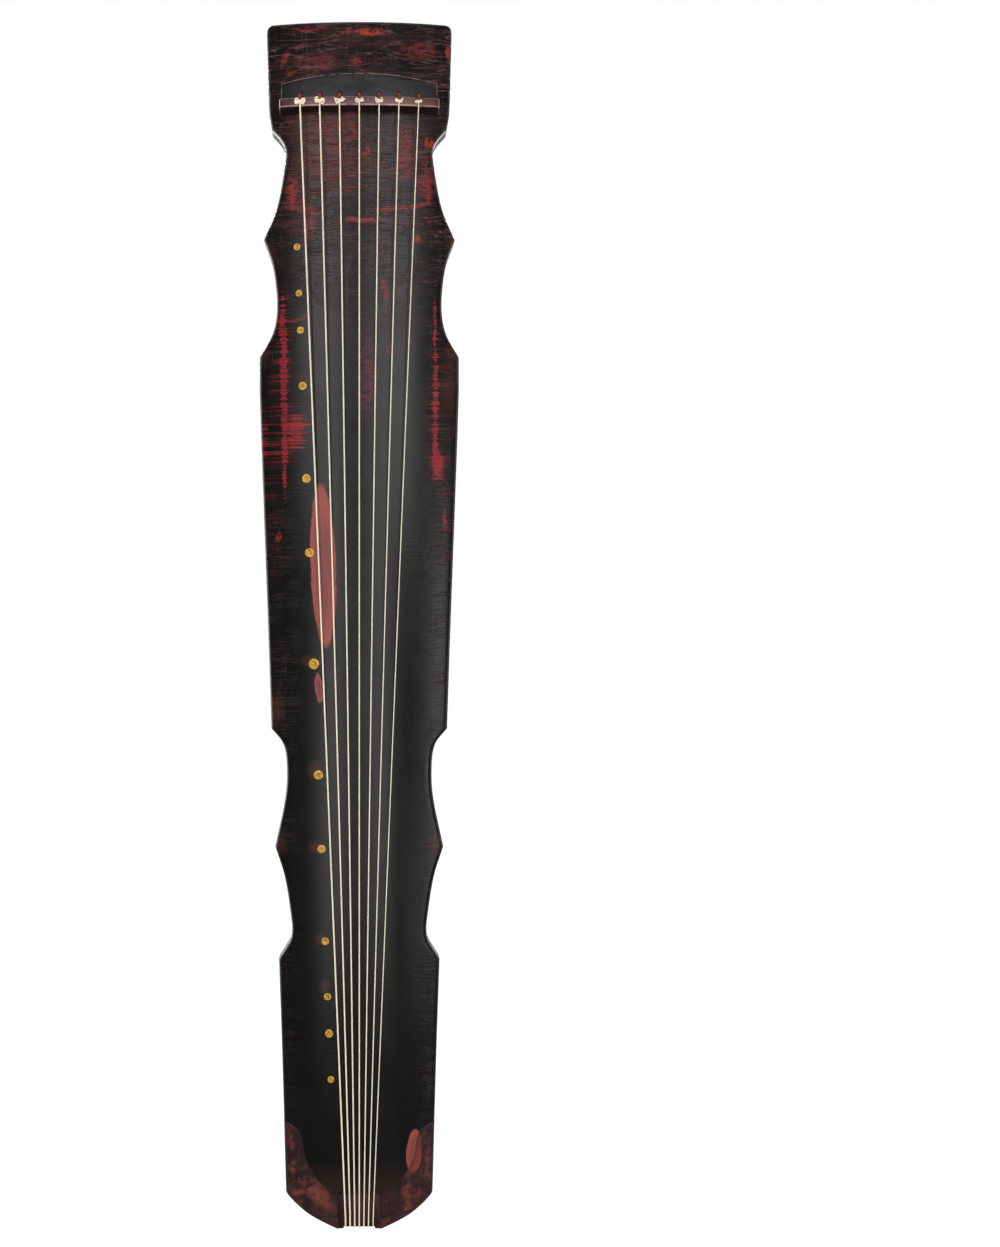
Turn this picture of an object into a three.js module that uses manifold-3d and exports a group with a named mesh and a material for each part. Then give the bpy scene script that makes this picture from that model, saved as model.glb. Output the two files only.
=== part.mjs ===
// A guqin, the Chinese seven-string zither, in millimetres.
// Each piece is drawn in bench coordinates: across the board, along it from the head end, and up from the flat back.
// The finished instrument hangs head up, with its strings facing -Y and its back facing +Y.
import * as THREE from "three";
import { mergeVertices } from "three/addons/utils/BufferGeometryUtils.js";
import Module from "manifold-3d";

const wasm = await Module();
wasm.setup();

// The body's outline and thickness.
const bodyLength = 1216;
const shoulderHalfWidth = 100.6;
const crownHeight = 50;
const archDrop = 16;
const archPower = 2.2;
const arrisRadius = 4;
const bottomThickness = 9;
const bottomChamfer = 2.5;
const fit = 0.3;
const overrun = 3;

// Half the outline: the share of the length from the head end, and the share of the shoulder's half width.
// Each list is one smooth stretch, and two stretches meet in a corner or a cusp.
const outlineShares = [
  [[0, 0.869], [0.0017, 0.912], [0.0047, 0.928], [0.0156, 0.928], [0.0748, 0.903], [0.0888, 0.876]],
  [[0.0888, 0.876], [0.097, 0.788], [0.1044, 0.742], [0.1127, 0.735], [0.1546, 0.827], [0.1799, 0.958]],
  [[0.1799, 0.958], [0.1998, 0.873], [0.2226, 0.83], [0.2385, 0.824], [0.2508, 0.843], [0.2615, 0.886], [0.2771, 1]],
  [[0.2771, 1], [0.3125, 0.998], [0.5033, 0.915], [0.5851, 0.882]],
  [[0.5851, 0.882], [0.597, 0.766], [0.6127, 0.728], [0.6398, 0.738], [0.6831, 0.844]],
  [[0.6831, 0.844], [0.7085, 0.747], [0.7442, 0.679], [0.7533, 0.675], [0.7607, 0.692], [0.7766, 0.807]],
  [[0.7766, 0.807], [0.8479, 0.778], [0.9701, 0.736]],
  [[0.9701, 0.736], [0.9731, 0.718], [0.9817, 0.614], [0.99, 0.474], [1, 0.218]],
];
// The height of the crown of the arch along the length, as a share of crownHeight.
const crownShares = [[0, 0.8], [0.05, 0.92], [0.07, 0.96], [0.115, 0.99], [0.27, 1], [0.49, 0.95], [0.74, 0.85], [0.905, 0.78], [1, 0.73]];
// Where the section's points stand across the board, as shares of the flat part of the half width.
const sectionShares = [-1, -0.72, -0.36, 0, 0.36, 0.72, 1];
const arrisShare = 0.7;
const stationGap = 25;

// The hollow inside the top board, and the posts that stand in it.
const roofThickness = 13;
const sideThickness = 14;
const hollowStart = 150;
const tailBlockLength = 96;
const hollowEnd = bodyLength - tailBlockLength;
const absorberDrop = 5;
const absorberReach = 60;
const postShares = [0.325, 0.65];
const postWidth = 22;
const postSides = 20;
const hollowShares = [-1, -0.5, 0, 0.5, 1];

// The sound holes in the back. The instrument hangs from the upper rim of the dragon pool.
const dragonPoolShare = 0.4145;
const dragonPoolStation = dragonPoolShare * bodyLength;
const dragonPoolRadius = 33.7;
const phoenixPoolShare = 0.8257;
const phoenixPoolStation = phoenixPoolShare * bodyLength;
const phoenixPoolRadius = 27.1;
const poolSides = 36;
const hookStation = dragonPoolStation - dragonPoolRadius;

// The head block's scooped underside.
const headBlockEnd = 64;
const scoopDepth = 13;
const scoopHalfWidth = 68;

// Bridge and string-hole strip.
const bridgeStart = 81;
const bridgeFoot = 12.5;
const bridgeTop = 8;
const bridgeLean = 1;
const bridgeHeight = 16.5;
const bridgeShare = 0.795;
const bridgeHalfLength = bridgeShare * shoulderHalfWidth;
const bridgeArris = 1.5;
const stripInset = 1.5;
const stripHalfWidth = bridgeHalfLength - stripInset;
const stripStart = 62.4;
const stripRise = 8.7;
const inlayThickness = 2;
const inlayProud = 0.4;
const stringHoleStation = 75;
const stringHoleRadius = 2.5;

// Strings, in order from the hui side.
const stringCount = 7;
const stringPitchAtBridge = 19.7;
const stringPitchAtNut = 4.62;
const firstStringRadius = 0.8;
const lastStringRadius = 0.5;
const bridgeContact = bridgeStart + bridgeLean + bridgeTop - bridgeArris;
const stringSides = 6;
const stringBend = 3;
const knotHalfWidth = 5.5;
const knotRadius = 1.8;
const knotRadiusShares = [0.4, 0.95, 0.9, 0.5, 0.9, 0.95, 0.4];
const knotSides = 8;
const bendSteps = 2;

// Nut, gum rest and crowns at the tail.
const nutLength = 38;
const nutStart = bodyLength - nutLength;
const nutHalfWidth = 21;
const nutReach = 12.5;
const nutContact = bodyLength - nutReach;
const nutProud = 3;
const nutDepth = 14;
const nutRound = 9;
const nutSteps = 5;
const notchHalfWidth = 15.8;
const notchDepth = 3.6;
const gumRestLength = 40;
const gumRestStart = bodyLength - gumRestLength;
const gumRestProud = 1.5;
const gumRestChamfer = 2;
const crownThickness = 4;
const crownProud = 0.5;
// The crowns' inner edge, from the side of the body to the nut: share of the tail's length, share of the width.
const crownEdgeShares = [[0, 1.03], [0.083, 0.8], [0.333, 0.713], [0.51, 0.58], [0.6, 0.45]];
const crownLength = 108;
const crownStart = bodyLength - crownLength;

// Peg pool, peg strip and pegs.
const pegPoolStation = 84;
const pegPoolMargin = 10;
const pegPoolHalfWidth = ((stringCount - 1) / 2) * stringPitchAtBridge + pegPoolMargin;
const pegPoolHalfHeight = 11;
const pegStripThickness = 5;
const pegLength = 19;
const pegFlangeRadius = 6.2;
const pegFlangeThickness = 2;
const pegNeckRadius = 4.2;
const pegNeckLength = 4.5;
const pegEndRadius = 6.4;
const pegEndRound = 1.5;
const pegSides = 10;

// Cords, from the knots to the tassels.
const cordRadius = 1.9;
const cordSides = 8;
const cordClearance = 0.5;
const cordBoreRadius = cordRadius + cordClearance;
const heldBend = 3;
const freeBend = 7.8;
const freeSteps = 3;
const pegToBend = 11;

// The cords leave the pegs, gather in two layers behind the hui side and hang down, each ending in its tassel.
const bundleAcross = -60;
const bundlePitch = 4.4;
const bundleFrontLayer = -7;
const bundleBackLayer = -11.4;
const gatherStation = 125;
const gatherStep = 4.5;
const cordEndStations = [222, 212, 228, 208, 232, 214, 224];
const spreadStart = 200;
const spreadEnd = 310;
const tasselPitch = 8.8;
const tasselEndStations = [500, 512, 494, 518, 505, 498, 509];
const tasselRings = 6;
const tasselSides = 8;

// The studs that mark the harmonics, from the bridge to the nut.
const studStringShares = [1 / 8, 1 / 6, 1 / 5, 1 / 4, 1 / 3, 2 / 5, 1 / 2, 3 / 5, 2 / 3, 3 / 4, 4 / 5, 5 / 6, 7 / 8];
const studRadiusShares = [0.67, 0.64, 0.67, 0.77, 0.83, 0.85, 1, 0.88, 0.77, 0.71, 0.69, 0.77, 0.65];
const largestStudRadius = 5.2;
const studThickness = 1.2;
const studInset = 3.8;
const studSides = 10;

// Goose feet and peg-guard feet.
const footHeight = 28;
const footShare = 0.6826;
const footStation = footShare * bodyLength;
const footAcrossShare = 0.537;
const footCapRadius = 14.4;
const footCapHeight = 5;
const footNeckRadius = 8;
const footCollarRadius = 12;
const footCollarHeight = 3.5;
const footTenonWidth = 14;
const footRound = 1.5;
const footSides = 24;
const guardStation = 18.5;
const guardAcrossShare = 0.825;
const guardRadius = 7;
const guardWaistRadius = 5.4;
const guardTenonRadius = 4;
const guardTenonLength = 10;
const guardSides = 14;

// How a string is wound on its foot.
const turnsOnFoot = 1.5;
const stepsPerTurn = 24;
const turnGap = 0.55;
const looseEnd = 6;

// Board materials.
const lacquer = new THREE.MeshStandardMaterial({ color: 0x1c1816, roughness: 0.3, metalness: 0 });
const redLacquer = new THREE.MeshStandardMaterial({ color: 0x5a2a22, roughness: 0.4, metalness: 0 });
const hardwood = new THREE.MeshStandardMaterial({ color: 0x3a2420, roughness: 0.45, metalness: 0 });
const bareWood = new THREE.MeshStandardMaterial({ color: 0x96603a, roughness: 0.7, metalness: 0 });
const gold = new THREE.MeshStandardMaterial({ color: 0xb89a5a, roughness: 0.35, metalness: 1 });
const silk = new THREE.MeshStandardMaterial({ color: 0xd8c9a4, roughness: 0.6, metalness: 0 });
const cordSilk = new THREE.MeshStandardMaterial({ color: 0x8c463e, roughness: 0.8, metalness: 0 });

// A point across the board, along it from the head end, and up from the flat back.
function at(across, station, height) {
  return new THREE.Vector3(across, hookStation - station, height);
}

// A smooth curve through a list of [place, value] pairs: cubic stretches with the neighbours' slopes.
function smoothValue(pairs, place) {
  const last = pairs.length - 1;
  const found = pairs.findIndex(([x]) => x > place);
  const i = Math.min(Math.max(found < 0 ? last : found, 1), last) - 1;
  const slope = (k) => {
    const a = pairs[Math.max(k - 1, 0)];
    const b = pairs[Math.min(k + 1, last)];
    return (b[1] - a[1]) / (b[0] - a[0]);
  };
  const [x0, y0] = pairs[i];
  const [x1, y1] = pairs[i + 1];
  const run = x1 - x0;
  const t = Math.min(Math.max((place - x0) / run, 0), 1);
  const rise = y1 - y0;
  const bend0 = slope(i) * run - rise;
  const bend1 = rise - slope(i + 1) * run;
  return y0 + t * rise + t * (1 - t) * ((1 - t) * bend0 + t * bend1);
}

function halfWidthAt(station) {
  const share = Math.min(Math.max(station / bodyLength, 0), 1);
  const stretch = outlineShares.find((pairs) => share <= pairs[pairs.length - 1][0]);
  return shoulderHalfWidth * smoothValue(stretch, share);
}

function crownAt(station) {
  return crownHeight * smoothValue(crownShares, station / bodyLength);
}

// How far a quarter round of this radius has dropped at a distance past its start.
function roundDrop(past, radius) {
  const reach = Math.min(Math.max(past, 0), radius);
  return radius - Math.sqrt(radius * radius - reach * reach);
}

// The height of the arched top, with its rounded arris along the sides and the head end.
function topHeight(across, station) {
  const arch = archDrop * (Math.abs(across) / shoulderHalfWidth) ** archPower;
  const side = roundDrop(Math.abs(across) - (halfWidthAt(station) - arrisRadius), arrisRadius);
  const end = roundDrop(arrisRadius - station, arrisRadius);
  return crownAt(station) - arch - Math.max(side, end);
}

// The stations of the body's sections: the outline's own points, and one between two that lie far apart.
const outlineStations = [0, ...outlineShares.flatMap((pairs) => pairs.slice(1).map(([share]) => share * bodyLength))];
const bodyStations = outlineStations.flatMap((station, i) => {
  const before = outlineStations[Math.max(i - 1, 0)];
  return station - before > stationGap ? [(before + station) / 2, station] : [station];
});

// The places of a section's points across the board.
function sectionPlaces(halfWidth) {
  const flat = halfWidth - arrisRadius;
  const arris = flat + arrisShare * arrisRadius;
  return [-halfWidth, -arris, ...sectionShares.map((share) => share * flat), arris, halfWidth];
}

// A closed solid through rings of points, each with as many points in its first half as in its second.
function loft(rings) {
  const count = rings[0].length;
  const triangles = [];
  const corner = (ring, k) => ring * count + ((k + count) % count);
  for (let ring = 1; ring < rings.length; ring += 1) {
    for (let k = 0; k < count; k += 1) {
      const [a, b] = [corner(ring - 1, k), corner(ring - 1, k + 1)];
      const [c, d] = [corner(ring, k), corner(ring, k + 1)];
      triangles.push(a, c, b, b, c, d);
    }
  }
  const last = rings.length - 1;
  for (let k = 0; k < count / 2 - 1; k += 1) {
    const [a, b, c, d] = [k, k + 1, -1 - k, -2 - k];
    triangles.push(corner(0, a), corner(0, b), corner(0, c), corner(0, b), corner(0, d), corner(0, c));
    triangles.push(corner(last, a), corner(last, c), corner(last, b));
    triangles.push(corner(last, b), corner(last, c), corner(last, d));
  }
  const geometry = new THREE.BufferGeometry();
  geometry.setAttribute("position", new THREE.Float32BufferAttribute(rings.flat().flatMap((p) => p.toArray()), 3));
  geometry.setIndex(triangles);
  return geometry;
}

// A round tube through points, with rings square to the way, from one radius or a list of them.
function tube(points, radius, sides) {
  const way = (i) => {
    const before = points[Math.max(i - 1, 0)];
    const after = points[Math.min(i + 1, points.length - 1)];
    return after.clone().sub(before).normalize();
  };
  const first = way(0);
  let side = new THREE.Vector3(Math.abs(first.x) < Math.SQRT1_2 ? 1 : 0, Math.abs(first.x) < Math.SQRT1_2 ? 0 : 1, 0);
  const rings = points.map((point, i) => {
    const ahead = way(i);
    side = side.clone().addScaledVector(ahead, -side.dot(ahead)).normalize();
    const other = side.clone().cross(ahead);
    const r = Array.isArray(radius) ? radius[i] : radius;
    return Array.from({ length: sides }, (_, k) => {
      const angle = (2 * Math.PI * k) / sides;
      const out = side.clone().multiplyScalar(Math.cos(angle)).addScaledVector(other, Math.sin(angle));
      return point.clone().addScaledVector(out, r);
    });
  });
  return loft(rings);
}

// A route through corners, each rounded to a bend radius where its neighbours leave room for it.
function roundedRoute(corners, bendRadius, steps) {
  const last = corners.length - 1;
  const points = [corners[0]];
  for (let i = 1; i < last; i += 1) {
    const before = corners[i - 1].clone().sub(corners[i]);
    const after = corners[i + 1].clone().sub(corners[i]);
    const roomBefore = i === 1 ? before.length() : before.length() / 2;
    const roomAfter = i === last - 1 ? after.length() : after.length() / 2;
    const half = before.angleTo(after) / 2;
    const reach = Math.min(bendRadius / Math.tan(half), roomBefore, roomAfter);
    const start = corners[i].clone().addScaledVector(before.normalize(), reach);
    const inward = before.clone().add(after.normalize()).normalize();
    const centre = corners[i].clone().addScaledVector(inward, reach / Math.cos(half));
    const axis = after.clone().cross(before).normalize();
    for (let k = 0; k <= steps; k += 1) {
      const spoke = start.clone().sub(centre);
      points.push(centre.clone().add(spoke.applyAxisAngle(axis, ((Math.PI - 2 * half) * k) / steps)));
    }
  }
  points.push(corners[last]);
  return points.filter((point, i) => i === 0 || point.distanceTo(points[i - 1]) > fit / 2);
}

function toSolid(geometry) {
  const bare = geometry.clone();
  for (const name of Object.keys(bare.attributes)) {
    if (name !== "position") bare.deleteAttribute(name);
  }
  const merged = mergeVertices(bare);
  const vertProperties = merged.attributes.position.array;
  const triVerts = new Uint32Array(merged.index.array);
  return new wasm.Manifold(new wasm.Mesh({ numProp: 3, vertProperties, triVerts }));
}

function toGeometry(solid) {
  const { vertProperties, triVerts } = solid.getMesh();
  const geometry = new THREE.BufferGeometry();
  geometry.setAttribute("position", new THREE.Float32BufferAttribute(vertProperties, 3));
  geometry.setIndex(Array.from(triVerts));
  geometry.computeVertexNormals();
  return geometry;
}

function cut(geometry, ...tools) {
  return toGeometry(tools.reduce((solid, tool) => solid.subtract(toSolid(tool)), toSolid(geometry)));
}

function join(geometry, ...others) {
  return toGeometry(others.reduce((solid, other) => solid.add(toSolid(other)), toSolid(geometry)));
}

function common(geometry, other) {
  return toGeometry(toSolid(geometry).intersect(toSolid(other)));
}

// A turned piece, its outline given as [radius, height] pairs, standing on the board at a place.
function turned(outline, sides, across, station) {
  const points = outline.map(([radius, height]) => new THREE.Vector2(radius, height));
  const geometry = new THREE.LatheGeometry(points, sides);
  geometry.rotateX(Math.PI / 2);
  const place = at(across, station, 0);
  return geometry.translate(place.x, place.y, place.z);
}

function drum(radius, low, high, sides, across, station) {
  return turned([[0, low], [radius, low], [radius, high], [0, high]], sides, across, station);
}

// A plan outline of [across, station] pairs, raised from one height to another.
function plate(outline, low, high) {
  const shape = new THREE.Shape(outline.map(([across, station]) => new THREE.Vector2(across, hookStation - station)));
  return new THREE.ExtrudeGeometry(shape, { depth: high - low, bevelEnabled: false }).translate(0, 0, low);
}

function block(halfWidth, start, end, low, high) {
  return plate([[-halfWidth, start], [halfWidth, start], [halfWidth, end], [-halfWidth, end]], low, high);
}

// A side outline of [station, height] pairs, run across the board.
function bar(outline, halfWidth) {
  const shape = new THREE.Shape(outline.map(([station, height]) => new THREE.Vector2(hookStation - station, height)));
  const geometry = new THREE.ExtrudeGeometry(shape, { depth: 2 * halfWidth, bevelEnabled: false });
  return geometry.translate(0, 0, -halfWidth).rotateX(Math.PI / 2).rotateZ(Math.PI / 2);
}

// The body between two stations, from a flat or shaped underside to the arched top moved up by a lift.
function body(start, end, lift, undersideAt, topAt = topHeight) {
  const between = bodyStations.filter((station) => station > start && station < end);
  const rings = [start, ...between, end].map((station) => {
    const places = sectionPlaces(halfWidthAt(station));
    const top = places.map((across) => at(across, station, topAt(across, station) + lift));
    const under = places.map((across) => at(across, station, undersideAt(across, station)));
    return [...top, ...under.reverse()];
  });
  return loft(rings);
}

// The scoop under the head: deepest at the end, fading out towards the peg pool.
function scoopHeight(across, station) {
  const share = Math.max(1 - station / headBlockEnd, 0);
  const side = Math.max(1 - (across / scoopHalfWidth) ** 2, 0);
  return scoopDepth * share * side;
}

function absorberAt(station) {
  const bump = (centre) => Math.exp(-(((station - centre) / absorberReach) ** 2));
  return absorberDrop * (bump(dragonPoolStation) + bump(phoenixPoolStation));
}

// The roof of the hollow, which comes lower over each sound hole.
function roofHeight(across, station) {
  const arch = archDrop * (Math.abs(across) / shoulderHalfWidth) ** archPower;
  return crownAt(station) - arch - roofThickness - absorberAt(station);
}

function hollow() {
  const between = outlineStations.filter((station) => station > hollowStart && station < hollowEnd);
  const rings = [hollowStart, ...between, hollowEnd].map((station) => {
    const places = hollowShares.map((share) => share * (halfWidthAt(station) - sideThickness));
    const roof = places.map((across) => at(across, station, roofHeight(across, station)));
    const floor = places.map((across) => at(across, station, 0));
    return [...roof, ...floor.reverse()];
  });
  return loft(rings);
}

function stringAcross(i, pitch) {
  return (i - (stringCount - 1) / 2) * pitch;
}

function stringRadius(i) {
  return firstStringRadius + ((lastStringRadius - firstStringRadius) * i) / (stringCount - 1);
}

function bridgeTopHeight(across) {
  return topHeight(across, bridgeStart) + bridgeHeight;
}

// The way that a cord takes from the string-hole strip down to its peg.
function stringHole(i, radius) {
  const across = stringAcross(i, stringPitchAtBridge);
  const mouth = at(across, stringHoleStation, topHeight(across, stringHoleStation));
  const foot = at(across, pegPoolStation, bottomThickness - pegStripThickness);
  const way = foot.clone().sub(mouth).normalize();
  const above = mouth.clone().addScaledVector(way, -overrun);
  const below = foot.clone().addScaledVector(way, overrun);
  return tube([above, below], radius, cordSides);
}

// A stud's centre, its radius and the slope of the board there.
function studPlace(k) {
  const share = studStringShares[k];
  const station = bridgeContact + share * (nutContact - bridgeContact);
  const outerString = stringAcross(0, stringPitchAtBridge + share * (stringPitchAtNut - stringPitchAtBridge));
  const radius = largestStudRadius * studRadiusShares[k];
  const across = outerString - studInset - largestStudRadius;
  const slope = (topHeight(across + radius, station) - topHeight(across - radius, station)) / (2 * radius);
  return { across, station, radius, slope };
}

function stud(k, radius, low, high) {
  const { across, station, slope } = studPlace(k);
  const disc = turned([[0, low], [radius, low], [radius, high], [0, high]], studSides, 0, hookStation);
  disc.rotateY(-Math.atan(slope));
  const place = at(across, station, topHeight(across, station));
  return disc.translate(place.x, place.y, place.z);
}

// The string-hole strip's plan: straight along the bridge, and bowed towards the head.
function stripOutline(grow) {
  const bow = sectionShares.map((share) => [
    share * (stripHalfWidth + grow),
    stripStart - grow - stripRise * (1 - share * share),
  ]);
  const edge = bridgeStart - fit + grow;
  return [...bow, [stripHalfWidth + grow, edge], [-stripHalfWidth - grow, edge]];
}

// A crown's plan: its curved inner edge, then round outside the tail's corner.
function crownOutline(side, grow) {
  const inner = crownEdgeShares.map(([along, across]) => [
    side * (across * halfWidthAt(crownStart) - grow),
    crownStart + along * crownLength - grow,
  ]);
  const past = bodyLength + overrun;
  const nutSide = nutHalfWidth + fit - grow;
  return [...inner, [side * nutSide, nutStart - grow], [side * nutSide, past], [side * shoulderHalfWidth, past], [side * shoulderHalfWidth, crownStart - grow]];
}

function nutOutline(grow) {
  const half = nutHalfWidth + grow;
  return [[-half, nutStart - grow], [half, nutStart - grow], [half, bodyLength], [-half, bodyLength]];
}

function notch(low, high) {
  return block(notchHalfWidth, bodyLength - notchDepth, bodyLength + overrun, low, high);
}

function nutTopHeight() {
  return crownAt(nutContact) + nutProud;
}

// The bell-shaped plan of the gum rest.
function gumRestOutline(grow) {
  const bell = sectionShares.map((share) => [
    share * (nutHalfWidth - fit + grow),
    gumRestStart - grow + notchHalfWidth * share * share,
  ]);
  const half = nutHalfWidth - fit + grow;
  return [...bell, [half, bodyLength], [-half, bodyLength]];
}

function inlayPocket(outline, thickness, far) {
  const under = body(0, bodyLength, -thickness, () => -overrun);
  return cut(plate(outline, 0, far), under);
}

function topBoard() {
  const far = crownHeight + bridgeHeight;
  const underside = (across, station) => (station < headBlockEnd ? scoopHeight(across, station) : bottomThickness + fit);
  const stations = [...bodyStations, headBlockEnd - fit / 2, headBlockEnd + fit / 2].sort((a, b) => a - b);
  const rings = stations.map((station) => {
    const places = sectionPlaces(halfWidthAt(station));
    const top = places.map((across) => at(across, station, topHeight(across, station)));
    const under = places.map((across) => at(across, station, underside(across, station)));
    return [...top, ...under.reverse()];
  });
  const strings = Array.from({ length: stringCount }, (_, i) => stringHole(i, stringHoleRadius));
  const studs = studStringShares.map((_, k) => stud(k, studPlace(k).radius + fit, -studThickness - fit, overrun));
  const guards = [-1, 1].map((side) =>
    drum(guardTenonRadius + fit, -overrun, guardTenonLength + fit, guardSides, guardAcross(side), guardStation),
  );
  return cut(
    loft(rings),
    hollow(),
    ...strings,
    ...studs,
    ...guards,
    inlayPocket(stripOutline(fit), inlayThickness + fit, far),
    inlayPocket(crownOutline(-1, fit), crownThickness + fit, far),
    inlayPocket(crownOutline(1, fit), crownThickness + fit, far),
    plate(nutOutline(fit), nutTopHeight() - nutDepth - fit, far),
    notch(0, far),
  );
}

function footAcross(side) {
  return side * footAcrossShare * shoulderHalfWidth;
}

function guardAcross(side) {
  return side * guardAcrossShare * shoulderHalfWidth;
}

function footTenon(side, grow, low, high) {
  const half = footTenonWidth / 2 + grow;
  const tenon = block(half, footStation - half, footStation + half, low, high);
  return tenon.translate(footAcross(side), 0, 0);
}

function bottomBoard() {
  const start = headBlockEnd + fit;
  const between = bodyStations.filter((station) => station > start);
  const rings = [start, ...between].map((station) => {
    const half = halfWidthAt(station);
    const row = (share, height) => [-1, -share, 0, share, 1].map((part) => at(part * half, station, height));
    const inner = 1 - bottomChamfer / half;
    const places = [-1, -inner, 0, inner, 1];
    const under = places.map((part) => at(part * half, station, Math.abs(part) === 1 ? bottomChamfer : 0));
    return [...row(inner, bottomThickness), ...under.reverse()];
  });
  return cut(
    loft(rings),
    drum(dragonPoolRadius, -overrun, bottomThickness + overrun, poolSides, 0, dragonPoolStation),
    drum(phoenixPoolRadius, -overrun, bottomThickness + overrun, poolSides, 0, phoenixPoolStation),
    block(pegPoolHalfWidth, pegPoolStation - pegPoolHalfHeight, pegPoolStation + pegPoolHalfHeight, -overrun, bottomThickness + overrun),
    footTenon(-1, fit, -overrun, bottomThickness + overrun),
    footTenon(1, fit, -overrun, bottomThickness + overrun),
    plate(gumRestOutline(fit), -overrun, bottomThickness + overrun),
    notch(-overrun, bottomThickness + overrun),
  );
}

function bridge() {
  const places = sectionShares.map((share) => -share * bridgeHalfLength);
  const rings = places.map((across) => {
    const low = (station) => topHeight(across, station) + fit;
    const high = bridgeTopHeight(across);
    const end = bridgeStart + bridgeFoot;
    const topEnd = bridgeStart + bridgeLean + bridgeTop;
    return [
      at(across, bridgeStart, low(bridgeStart)),
      at(across, bridgeStart + bridgeLean, high - bridgeArris),
      at(across, bridgeStart + bridgeLean + bridgeArris, high),
      at(across, topEnd, high),
      at(across, topEnd + bridgeArris, high - bridgeArris),
      at(across, end, low(end)),
    ];
  });
  return loft(rings);
}

function stringHoleStrip() {
  const far = crownHeight + bridgeHeight;
  const veneer = common(plate(stripOutline(0), 0, far), body(0, bodyLength, inlayProud, () => 0));
  const holes = Array.from({ length: stringCount }, (_, i) => stringHole(i, stringHoleRadius));
  return cut(veneer, body(0, bodyLength, -inlayThickness, () => -overrun), ...holes);
}

function crown(side) {
  const far = crownHeight + bridgeHeight;
  const veneer = common(plate(crownOutline(side, 0), 0, far), body(0, bodyLength, crownProud, () => 0));
  return cut(veneer, body(0, bodyLength, -crownThickness, () => -overrun));
}

// A point of the nut's rounded end, or at an offset outside it.
function nutTurn(angle, offset) {
  const reach = nutReach + offset;
  const round = nutRound + offset;
  return [nutContact + reach * Math.sin(angle), nutTopHeight() - nutRound + round * Math.cos(angle)];
}

// The nut, rounded where the strings turn down over the tail end.
function nut() {
  const low = nutTopHeight() - nutDepth;
  const turn = Array.from({ length: nutSteps + 1 }, (_, k) => nutTurn((k / nutSteps) * (Math.PI / 2), 0));
  const start = [[nutStart, low], [nutStart, crownAt(nutStart)], [nutStart + nutProud, nutTopHeight()]];
  return cut(bar([...start, ...turn, [bodyLength, low]], nutHalfWidth), notch(0, nutTopHeight() + overrun));
}

function gumRest() {
  const wall = bodyLength - notchDepth;
  const low = -gumRestProud;
  const chamfer = bar(
    [
      [wall + overrun, low + gumRestChamfer + overrun],
      [wall - gumRestChamfer - overrun, low - overrun],
      [wall + overrun, low - overrun],
    ],
    notchHalfWidth,
  );
  return cut(plate(gumRestOutline(0), low, bottomThickness), notch(-overrun, bottomThickness + overrun), chamfer);
}

function pegPoolStrip() {
  const low = bottomThickness - pegStripThickness;
  const grown = -fit;
  const half = pegPoolHalfWidth + grown;
  const high = pegPoolHalfHeight + grown;
  const strip = block(half, pegPoolStation - high, pegPoolStation + high, low, bottomThickness);
  return cut(strip, ...Array.from({ length: stringCount }, (_, i) => stringHole(i, stringHoleRadius)));
}

// A peg: the flange that presses on the strip, a thin neck, and a body that widens to its end, bored for the cord.
function peg(i) {
  const top = bottomThickness - pegStripThickness - fit;
  const neckTop = top - pegFlangeThickness;
  const neckEnd = neckTop - pegNeckLength;
  const end = top - pegLength;
  const outline = [
    [cordBoreRadius, end],
    [pegEndRadius - pegEndRound, end],
    [pegEndRadius, end + pegEndRound],
    [pegNeckRadius, neckEnd],
    [pegNeckRadius, neckTop],
    [pegFlangeRadius, neckTop + pegFlangeThickness / 4],
    [pegFlangeRadius, top],
    [cordBoreRadius, top],
    [cordBoreRadius, end],
  ];
  return turned(outline, pegSides, stringAcross(i, stringPitchAtBridge), pegPoolStation);
}

function gooseFoot(side) {
  const capTop = -footHeight + footCapHeight;
  const outline = [
    [0, -footHeight],
    [footCapRadius - footRound, -footHeight],
    [footCapRadius, -footHeight + footRound],
    [footCapRadius, capTop],
    [footNeckRadius, capTop + footRound],
    [footNeckRadius, -footCollarHeight],
    [footCollarRadius, -footCollarHeight + footRound],
    [footCollarRadius, -fit],
    [0, -fit],
  ];
  const foot = turned(outline, footSides, footAcross(side), footStation);
  return join(foot, footTenon(side, 0, -footCollarHeight, bottomThickness));
}

function pegGuard(side) {
  const outline = [
    [0, -footHeight],
    [guardRadius - footRound, -footHeight],
    [guardRadius, -footHeight + footRound],
    [guardRadius, -footHeight + footCapHeight],
    [guardWaistRadius, -footHeight / 2],
    [guardRadius, -fit - footRound],
    [guardRadius, -fit],
    [guardTenonRadius, -fit],
    [guardTenonRadius, guardTenonLength],
    [0, guardTenonLength],
  ];
  return turned(outline, guardSides, guardAcross(side), guardStation);
}

function post(k) {
  const station = postShares[k] * bodyLength;
  const edge = postWidth / 2;
  const low = bottomThickness + fit;
  const round = k === 0;
  const blank = round
    ? drum(edge, low, crownHeight, postSides, 0, station)
    : block(edge, station - edge, station + edge, low, crownHeight);
  return common(blank, hollow().translate(0, 0, -fit));
}

// The least gap between stretches of a wound tube that aren't neighbours along it.
function leastGap(points, radius, steps) {
  let least = Infinity;
  for (let i = 0; i < points.length; i += 1) {
    for (let j = i + steps; j < points.length; j += 1) {
      least = Math.min(least, points[i].distanceTo(points[j]) - 2 * radius);
    }
  }
  return least;
}

function turnPitch(i) {
  return 2 * stringRadius(i) + turnGap;
}

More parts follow.
